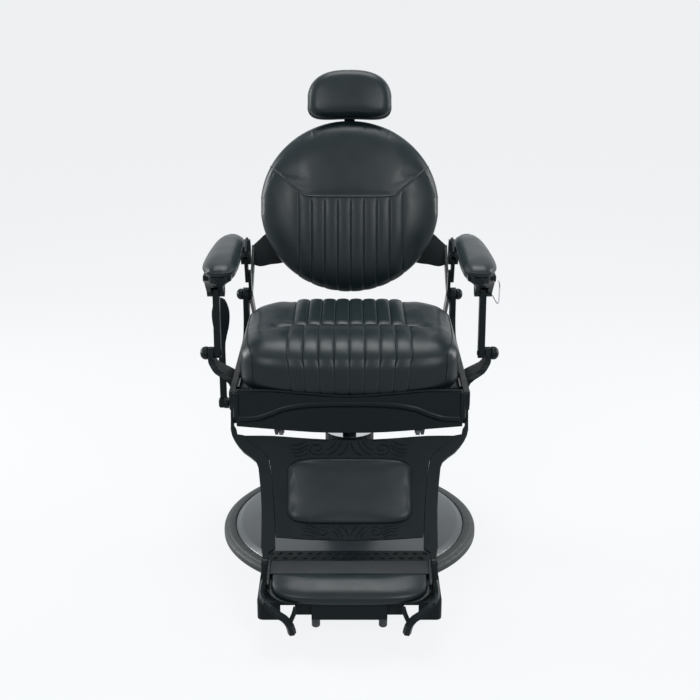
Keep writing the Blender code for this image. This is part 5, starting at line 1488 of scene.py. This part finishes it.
@dataclass
class ApronTrim:
    """Raised beads on the apron: its moulded ridge, its top edge and its two ends."""

    face: float = -0.2840
    ridge: tuple[tuple[float, float], ...] = (
        (-0.2750, 0.4418), (-0.2480, 0.4425), (-0.2220, 0.4460), (-0.1900, 0.4575), (-0.1580, 0.4700),
        (-0.0950, 0.4795), (0.0, 0.4815))
    ridge_radius: float = 0.0110
    ridge_sunk: float = 0.0066  # how far its middle line lies behind the apron's face
    top: tuple[tuple[float, float], ...] = (
        (-0.2750, 0.5165), (-0.1900, 0.5165), (-0.1100, 0.5095), (0.0, 0.5022))
    top_radius: float = 0.0034
    top_sunk: float = 0.0016
    end: tuple[float, float, float] = (0.2790, 0.4470, 0.5110)  # x, with its lower and upper z
    end_radius: float = 0.0080
    end_sunk: float = 0.0030

    def build(self, shop: Workshop) -> None:
        """Press the beads on the apron's face."""
        parts = Parts()
        for half, radius, sunk in ((self.ridge, self.ridge_radius, self.ridge_sunk),
                                   (self.top, self.top_radius, self.top_sunk)):
            whole = list(half) + [(-x, z) for x, z in reversed(half[:-1])]
            parts.rod([Vector((p.x, self.face + sunk, p.y)) for p in smooth_run(whole, 8)], radius, 10)
        across, low, high = self.end
        for side in (RIGHT, LEFT):
            post = [Vector((side * across, self.face + self.end_sunk, z)) for z in eased(low, high, 10)]
            parts.rod(post, self.end_radius, 16)
        shop.fit(parts.made("apron_beads"), "seat", Surface.POWDER_COAT)


# --- ornament and small hardware ------------------------------------------------------
@dataclass
class PanelRelief:
    """Cast scrolls and leaves, mirrored, in two bands on the calf panel."""

    face: float = 0.0040
    height: float = 1.2 * MM
    bands: tuple[tuple[float, float, float], ...] = ((-0.090, 0.92, 1.0), (-0.2965, 0.72, -1.0))  # level, size, flip
    section: tuple[tuple[float, float], ...] = (  # a stroke's, as shares of its half width and height
        (-1.0, -0.3), (-0.55, 0.75), (0.0, 1.0), (0.55, 0.75), (1.0, -0.3))
    leaves: tuple[tuple[tuple[tuple[float, float], ...], float], ...] = (  # middle line and width
        (((0.022, 0.020), (0.030, 0.004), (0.044, -0.010), (0.060, -0.018)), 0.0062),
        (((0.036, 0.021), (0.042, 0.010), (0.052, 0.001), (0.062, -0.004)), 0.0050),
        (((0.004, 0.017), (0.008, 0.002), (0.018, -0.011), (0.034, -0.020)), 0.0062),
        (((0.060, 0.020), (0.074, 0.024), (0.090, 0.024), (0.104, 0.019)), 0.0050),
        (((0.108, 0.013), (0.122, 0.004), (0.138, -0.002), (0.156, -0.001)), 0.0060),
        (((0.112, 0.002), (0.126, -0.007), (0.142, -0.012), (0.160, -0.011)), 0.0052),
        (((0.110, -0.010), (0.122, -0.017), (0.136, -0.020), (0.150, -0.020)), 0.0046),
        (((0.114, 0.022), (0.128, 0.014), (0.142, 0.010), (0.162, 0.010)), 0.0046))

    def stroke(self, parts: Parts, path: Sequence[Vector], width: float) -> None:
        """Lay one raised stroke that tapers to both ends.

        Args:
            parts: where it goes.
            path: its middle line, as (across, up the plane) points.
            width: its width at the fullest.
        """
        count = len(path)
        rings = []
        for i, at in enumerate(path):
            ahead = path[min(i + 1, count - 1)] - path[max(i - 1, 0)]
            side = Vector((-ahead.y, ahead.x)).normalized()
            full = math.sin(math.pi * (0.04 + 0.92 * i / (count - 1))) ** 0.7
            ring = []
            for share, lift in self.section:
                point = at + side * share * width / 2.0 * full
                ring.append(len(parts.points))
                parts.points.append(Vector((point.x, point.y, self.face + self.height * lift * (0.35 + 0.65 * full))))
            rings.append(ring)
        wide = len(self.section)
        for a, b in zip(rings, rings[1:]):
            for k in range(wide):
                j = (k + 1) % wide
                parts.faces.append([a[k], b[k], b[j], a[j]])
        parts.faces.append(list(reversed(rings[0])))
        parts.faces.append(list(rings[-1]))

    def scroll(self, eye: tuple[float, float], radius: float, turns: float, start: float, hand: float) -> list[Vector]:
        """A spiral that winds in to its eye.

        Args:
            eye: its centre.
            radius: its radius where it starts.
            turns: how many turns it takes.
            start: the angle in degrees at which it starts.
            hand: 1 to wind anticlockwise, -1 clockwise.

        Returns:
            Its points from outside to inside.
        """
        steps = int(26 * turns)
        run = []
        for i in range(steps + 1):
            t = i / steps
            angle = math.radians(start) + hand * 2.0 * math.pi * turns * t
            reach = radius * (1.0 - 0.80 * t ** 0.85)
            run.append(Vector((eye[0] + reach * math.cos(angle), eye[1] + 0.72 * reach * math.sin(angle))))
        return run

    def band(self, parts: Parts, level: float, size: float, flip: float) -> None:
        """Cast one band: a scroll with leaves on each side of the middle.

        Args:
            parts: where it goes.
            level: the band's middle up the plane.
            size: its scale.
            flip: 1 for the upper band, -1 for the lower.
        """
        for hand in (RIGHT, LEFT):
            def spot(x: float, y: float) -> Vector:
                """A point of the band's drawing, in the panel's plane."""
                return Vector((hand * x * size, level + flip * y * size))

            curl = self.scroll((0.088, 0.0), 0.026, 1.35, 215.0, 1.0)
            self.stroke(parts, [spot(p.x, p.y) for p in curl], 0.0050 * size)
            for points, width in self.leaves:
                self.stroke(parts, smooth_run([spot(*p) for p in points], 7), width * size)

    def build(self, shop: Workshop) -> None:
        """Cast both bands on the panel."""
        parts = Parts()
        for level, size, flip in self.bands:
            self.band(parts, level, size, flip)
        relief = parts.made("calf_panel_relief", tilted(LEG_FOOT, LEG_LEAN))
        shop.fit(relief, "leg_rest", Surface.POWDER_COAT)


@dataclass
class PlatformTread:
    """Raised studs on the foot platform's top, in rows."""

    top: float = 0.116
    half_width: float = 0.196
    front: float = -0.560
    rear: float = -0.368
    pitch: float = 0.024
    half_stud: tuple[float, float] = (0.0075, 0.0045)
    stud_radii: tuple[float, ...] = (0.0006, 0.0020, 0.0024, 0.0020, 0.0006)

    def build(self, shop: Workshop) -> None:
        """Cast the studs on the platform."""
        parts = Parts()
        rows = int((self.rear - self.front) / self.pitch) + 1
        across = int(2.0 * self.half_width / self.pitch) + 1
        for r in range(rows):
            for c in range(across):
                x = -self.half_width + c * self.pitch + (self.pitch / 2.0 if r % 2 else 0.0)
                if x > self.half_width:
                    continue
                at = Vector((x, self.rear - r * self.pitch, self.top))
                lean = Vector((self.half_stud[0] if (r + c) % 2 else -self.half_stud[0], self.half_stud[1], 0.0))
                path = [at - lean, at - lean * 0.5, at, at + lean * 0.5, at + lean]
                parts.bar(path, self.stud_radii, 6)
        shop.fit(parts.made("platform_tread"), "leg_rest", Surface.SAND_CASTING)


@dataclass
class Hardware:
    """Screws, washers and bolt heads that the eye meets on close view."""

    dome: tuple[tuple[float, float], ...] = ((1.0, -0.2), (1.0, 0.10), (0.82, 0.42), (0.45, 0.62), (0.12, 0.68))
    bracket_bolts: tuple[tuple[float, float], ...] = ((0.168, 0.108), (0.168, 0.185), (0.208, 0.100), (0.205, 0.170))
    socket_screws: tuple[float, ...] = (0.348, 0.412)
    plate_screws: tuple[float, ...] = (0.527, 0.578)
    panel_screws: tuple[float, ...] = (-0.130, -0.215, -0.300)

    def screw(self, parts: Parts, at: Vector, axis: Vector, radius: float) -> None:
        """Add a domed screw head."""
        parts.turn([(r * radius, h * radius) for r, h in self.dome], at, axis, 16)

    def hexagon(self, parts: Parts, at: Vector, axis: Vector, radius: float) -> None:
        """Add a bolt's washer and six-sided head."""
        parts.turn([(radius * 1.35, -0.0004), (radius * 1.35, 0.0010), (radius * 1.2, 0.0014)], at, axis, 20)
        parts.turn([(radius, 0.0010), (radius, 0.0052), (radius * 0.86, 0.0062)], at, axis, 6)

    def build(self, shop: Workshop) -> None:
        """Fit the screws of each body."""
        back_plane, leg_plane = tilted(BACK_FOOT, BACK_LEAN), tilted(LEG_FOOT, LEG_LEAN)
        rearward = back_plane.to_3x3() @ Vector((0.0, 0.0, -1.0))
        under = leg_plane.to_3x3() @ Vector((0.0, 0.0, -1.0))
        back, head, leg = Parts(), Parts(), Parts()
        for side in (RIGHT, LEFT):
            for x, t in self.bracket_bolts:
                self.hexagon(back, back_plane @ Vector((side * x, t, -0.0758)), rearward, 0.0058)
            for t in self.socket_screws:
                self.screw(back, back_plane @ Vector((side * 0.0235, t, -0.0890)), rearward, 0.0046)
            for t in self.plate_screws:
                self.screw(head, back_plane @ Vector((side * 0.062, t, -0.0540)), rearward, 0.0044)
            for s in self.panel_screws:
                self.screw(leg, leg_plane @ Vector((side * 0.170, s, -0.0020)), under, 0.0048)
        shop.fit(back.made("back_fasteners"), "back", Surface.POWDER_COAT)
        shop.fit(head.made("headrest_fasteners"), "headrest", Surface.POWDER_COAT)
        shop.fit(leg.made("leg_rest_fasteners"), "leg_rest", Surface.POWDER_COAT)


# --- the chair's hard pieces ----------------------------------------------------------
@dataclass
class Dressing:
    """Which finish each carried-over CAD node gets."""

    nodes: dict[Surface, tuple[str, ...]] = field(default_factory=lambda: {
        Surface.MOULDED_RUBBER: ("wiper_seal", "platform_foot_left", "platform_foot_right"),
        Surface.SAND_CASTING: ("pump_housing", "seat_spider", "foot_platform", "headrest_socket"),
        Surface.BRONZE: ("guide_bush",),
        Surface.CHROME: ("ram", "cylinder_gland", "strop_loop"),
        Surface.TURNED_STEEL: ("swivel_race", "pump_rod", "back_tie_bar", "leg_shaft", "coupling_rod_left",
                               "coupling_rod_right"),
        Surface.PLYWOOD: ("seat_board",),
        Surface.LEATHER: ("back_shell",),
        Surface.POWDER_COAT: (
            "side_frame_left", "side_frame_right", "apron", "rear_knob_left", "rear_knob_right", "front_knob_left",
            "front_knob_right", "pump_yoke", "hand_lever", "back_bracket_left", "back_bracket_right", "headrest_bar",
            "headrest_plate", "armrest_casting_left", "armrest_casting_right", "front_link_left", "front_link_right",
            "leg_rail_left", "leg_rail_right", "calf_panel", "foot_bar"),
    })

    def build(self, shop: Workshop) -> None:
        """Dress every hard node."""
        for surface, names in self.nodes.items():
            for name in names:
                shop.dress(name, surface)


# --- studio ---------------------------------------------------------------------------
@dataclass(frozen=True)
class SoftBox:
    """One soft lamp: its place, what it aims at, its width and height, and its power."""

    name: str
    place: tuple[float, float, float]
    aim: tuple[float, float, float]
    size: tuple[float, float]
    watts: float

    def hang(self) -> None:
        """Hang the lamp in the scene."""
        light = bpy.data.lights.new(self.name, "AREA")
        light.shape = "RECTANGLE"
        light.size, light.size_y = self.size
        light.energy = self.watts
        lamp = bpy.data.objects.new(self.name, light)
        lamp.location = self.place
        lamp.rotation_euler = (Vector(self.aim) - Vector(self.place)).to_track_quat("-Z", "Y").to_euler()
        bpy.context.scene.collection.objects.link(lamp)


SOFT_BOXES = (
    # Tall boxes on both sides of the camera, and one overhead.
    SoftBox("tall_box_left", (-1.55, -3.3, 2.7), (0.0, 0.1, 0.8), (0.8, 1.4), 46.0),
    SoftBox("tall_box_right", (1.55, -3.3, 2.7), (0.0, 0.1, 0.8), (0.8, 1.4), 60.0),
    SoftBox("top_box", (0.1, 0.5, 3.5), (0.0, -0.1, 0.6), (1.9, 1.6), 84.0),
    # One on each side, a little behind the chair, which lights its edges.
    SoftBox("side_box_left", (-2.4, 0.7, 1.5), (0.0, 0.0, 0.8), (0.5, 1.7), 64.0),
    SoftBox("side_box_right", (2.4, 0.7, 1.5), (0.0, 0.0, 0.8), (0.5, 1.7), 40.0),
)


@dataclass
class Studio:
    """A plain pale floor, soft lamps and the photograph's camera."""

    paper: str = "f3f5f7"
    paper_glow: float = 1.02
    glow_share: float = 0.93  # how much of the floor's look is its glow, where the eye meets it
    room_light: float = 0.08  # the room's strength as a lamp; the eye and the gloss see it at 1
    floor_reach: float = 60.0
    eye: tuple[float, float, float] = (0.0013, -3.0, 1.56)
    tilt_down: float = 19.05
    focal: float = 61.1
    sensor: float = 36.0
    far: float = 200.0

    def build(self) -> None:
        """Set up the floor, the world, the lamps and the camera."""
        self._floor()
        self._world()
        for box in SOFT_BOXES:
            box.hang()
        lens = bpy.data.cameras.new("camera")
        lens.lens = self.focal
        lens.sensor_width = self.sensor
        lens.clip_end = self.far
        camera = bpy.data.objects.new("camera", lens)
        camera.location = self.eye
        camera.rotation_euler = (math.radians(90.0 - self.tilt_down), 0.0, 0.0)
        bpy.context.scene.collection.objects.link(camera)
        bpy.context.scene.camera = camera
        bpy.context.scene.view_settings.view_transform = "Standard"
        log.info("studio stands with its camera at %s", self.eye)

    def _floor(self) -> None:
        """Lay the paper that the chair stands on, so pale that it gives its own background."""
        reach = self.floor_reach
        floor = mesh_object("floor", [(-reach, -reach, 0), (reach, -reach, 0), (reach, reach, 0), (-reach, reach, 0)],
                            [(0, 1, 2, 3)])
        made = bpy.data.materials.new("matt_studio_paper")
        made.use_nodes = True
        tree = made.node_tree
        tree.nodes.clear()
        matt = add_node(tree, "ShaderNodeBsdfDiffuse", {"Color": linear(self.paper)})
        glow = add_node(tree, "ShaderNodeEmission", {"Color": linear(self.paper), "Strength": self.paper_glow})
        seen = add_node(tree, "ShaderNodeMixShader", {0: self.glow_share}, {1: matt.outputs[0], 2: glow.outputs[0]})
        both = add_node(tree, "ShaderNodeMixShader", links={0: self._seen(tree), 1: matt.outputs[0],
                                                            2: seen.outputs[0]})
        add_node(tree, "ShaderNodeOutputMaterial", links={"Surface": both.outputs[0]})
        floor.data.materials.append(made)

    def _world(self) -> None:
        """Give the eye and the gloss a pale room, and the matt surfaces a dimmer one."""
        world = bpy.data.worlds.new("room")
        bpy.context.scene.world = world
        world.use_nodes = True
        tree = world.node_tree
        tree.nodes.clear()
        pale = add_node(tree, "ShaderNodeBackground", {"Color": linear(self.paper), "Strength": 1.0})
        dim = add_node(tree, "ShaderNodeBackground", {"Color": linear(self.paper), "Strength": self.room_light})
        room = add_node(tree, "ShaderNodeMixShader", links={0: self._seen(tree), 1: dim.outputs[0],
                                                            2: pale.outputs[0]})
        add_node(tree, "ShaderNodeOutputWorld", links={"Surface": room.outputs[0]})

    @staticmethod
    def _seen(tree: bpy.types.NodeTree) -> bpy.types.NodeSocket:
        """Tell rays that show the background, straight or in gloss or glass, from those that light."""
        path = add_node(tree, "ShaderNodeLightPath")
        shown = path.outputs["Is Camera Ray"]
        for kind in ("Is Glossy Ray", "Is Transmission Ray"):
            either = add_node(tree, "ShaderNodeMath", {"operation": "MAXIMUM"}, {0: shown, 1: path.outputs[kind]})
            shown = either.outputs[0]
        return shown


def main() -> None:
    """Build the studio and every sub-assembly, in order."""
    logging.basicConfig(level=logging.INFO, format="%(name)s: %(message)s")
    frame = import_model()
    Studio().build()
    shop = Workshop(frame)
    Dressing().build(shop)
    for part in (TurnedBase(), ApronTrim(), SeatCushion(), BackCushion(), HeadrestCushion(), ArmPad(RIGHT),
                 ArmPad(LEFT), CalfPad(), FootBarPad(), PanelRelief(), PlatformTread(), Hardware()):
        part.build(shop)


if __name__ == "__main__":
    main()
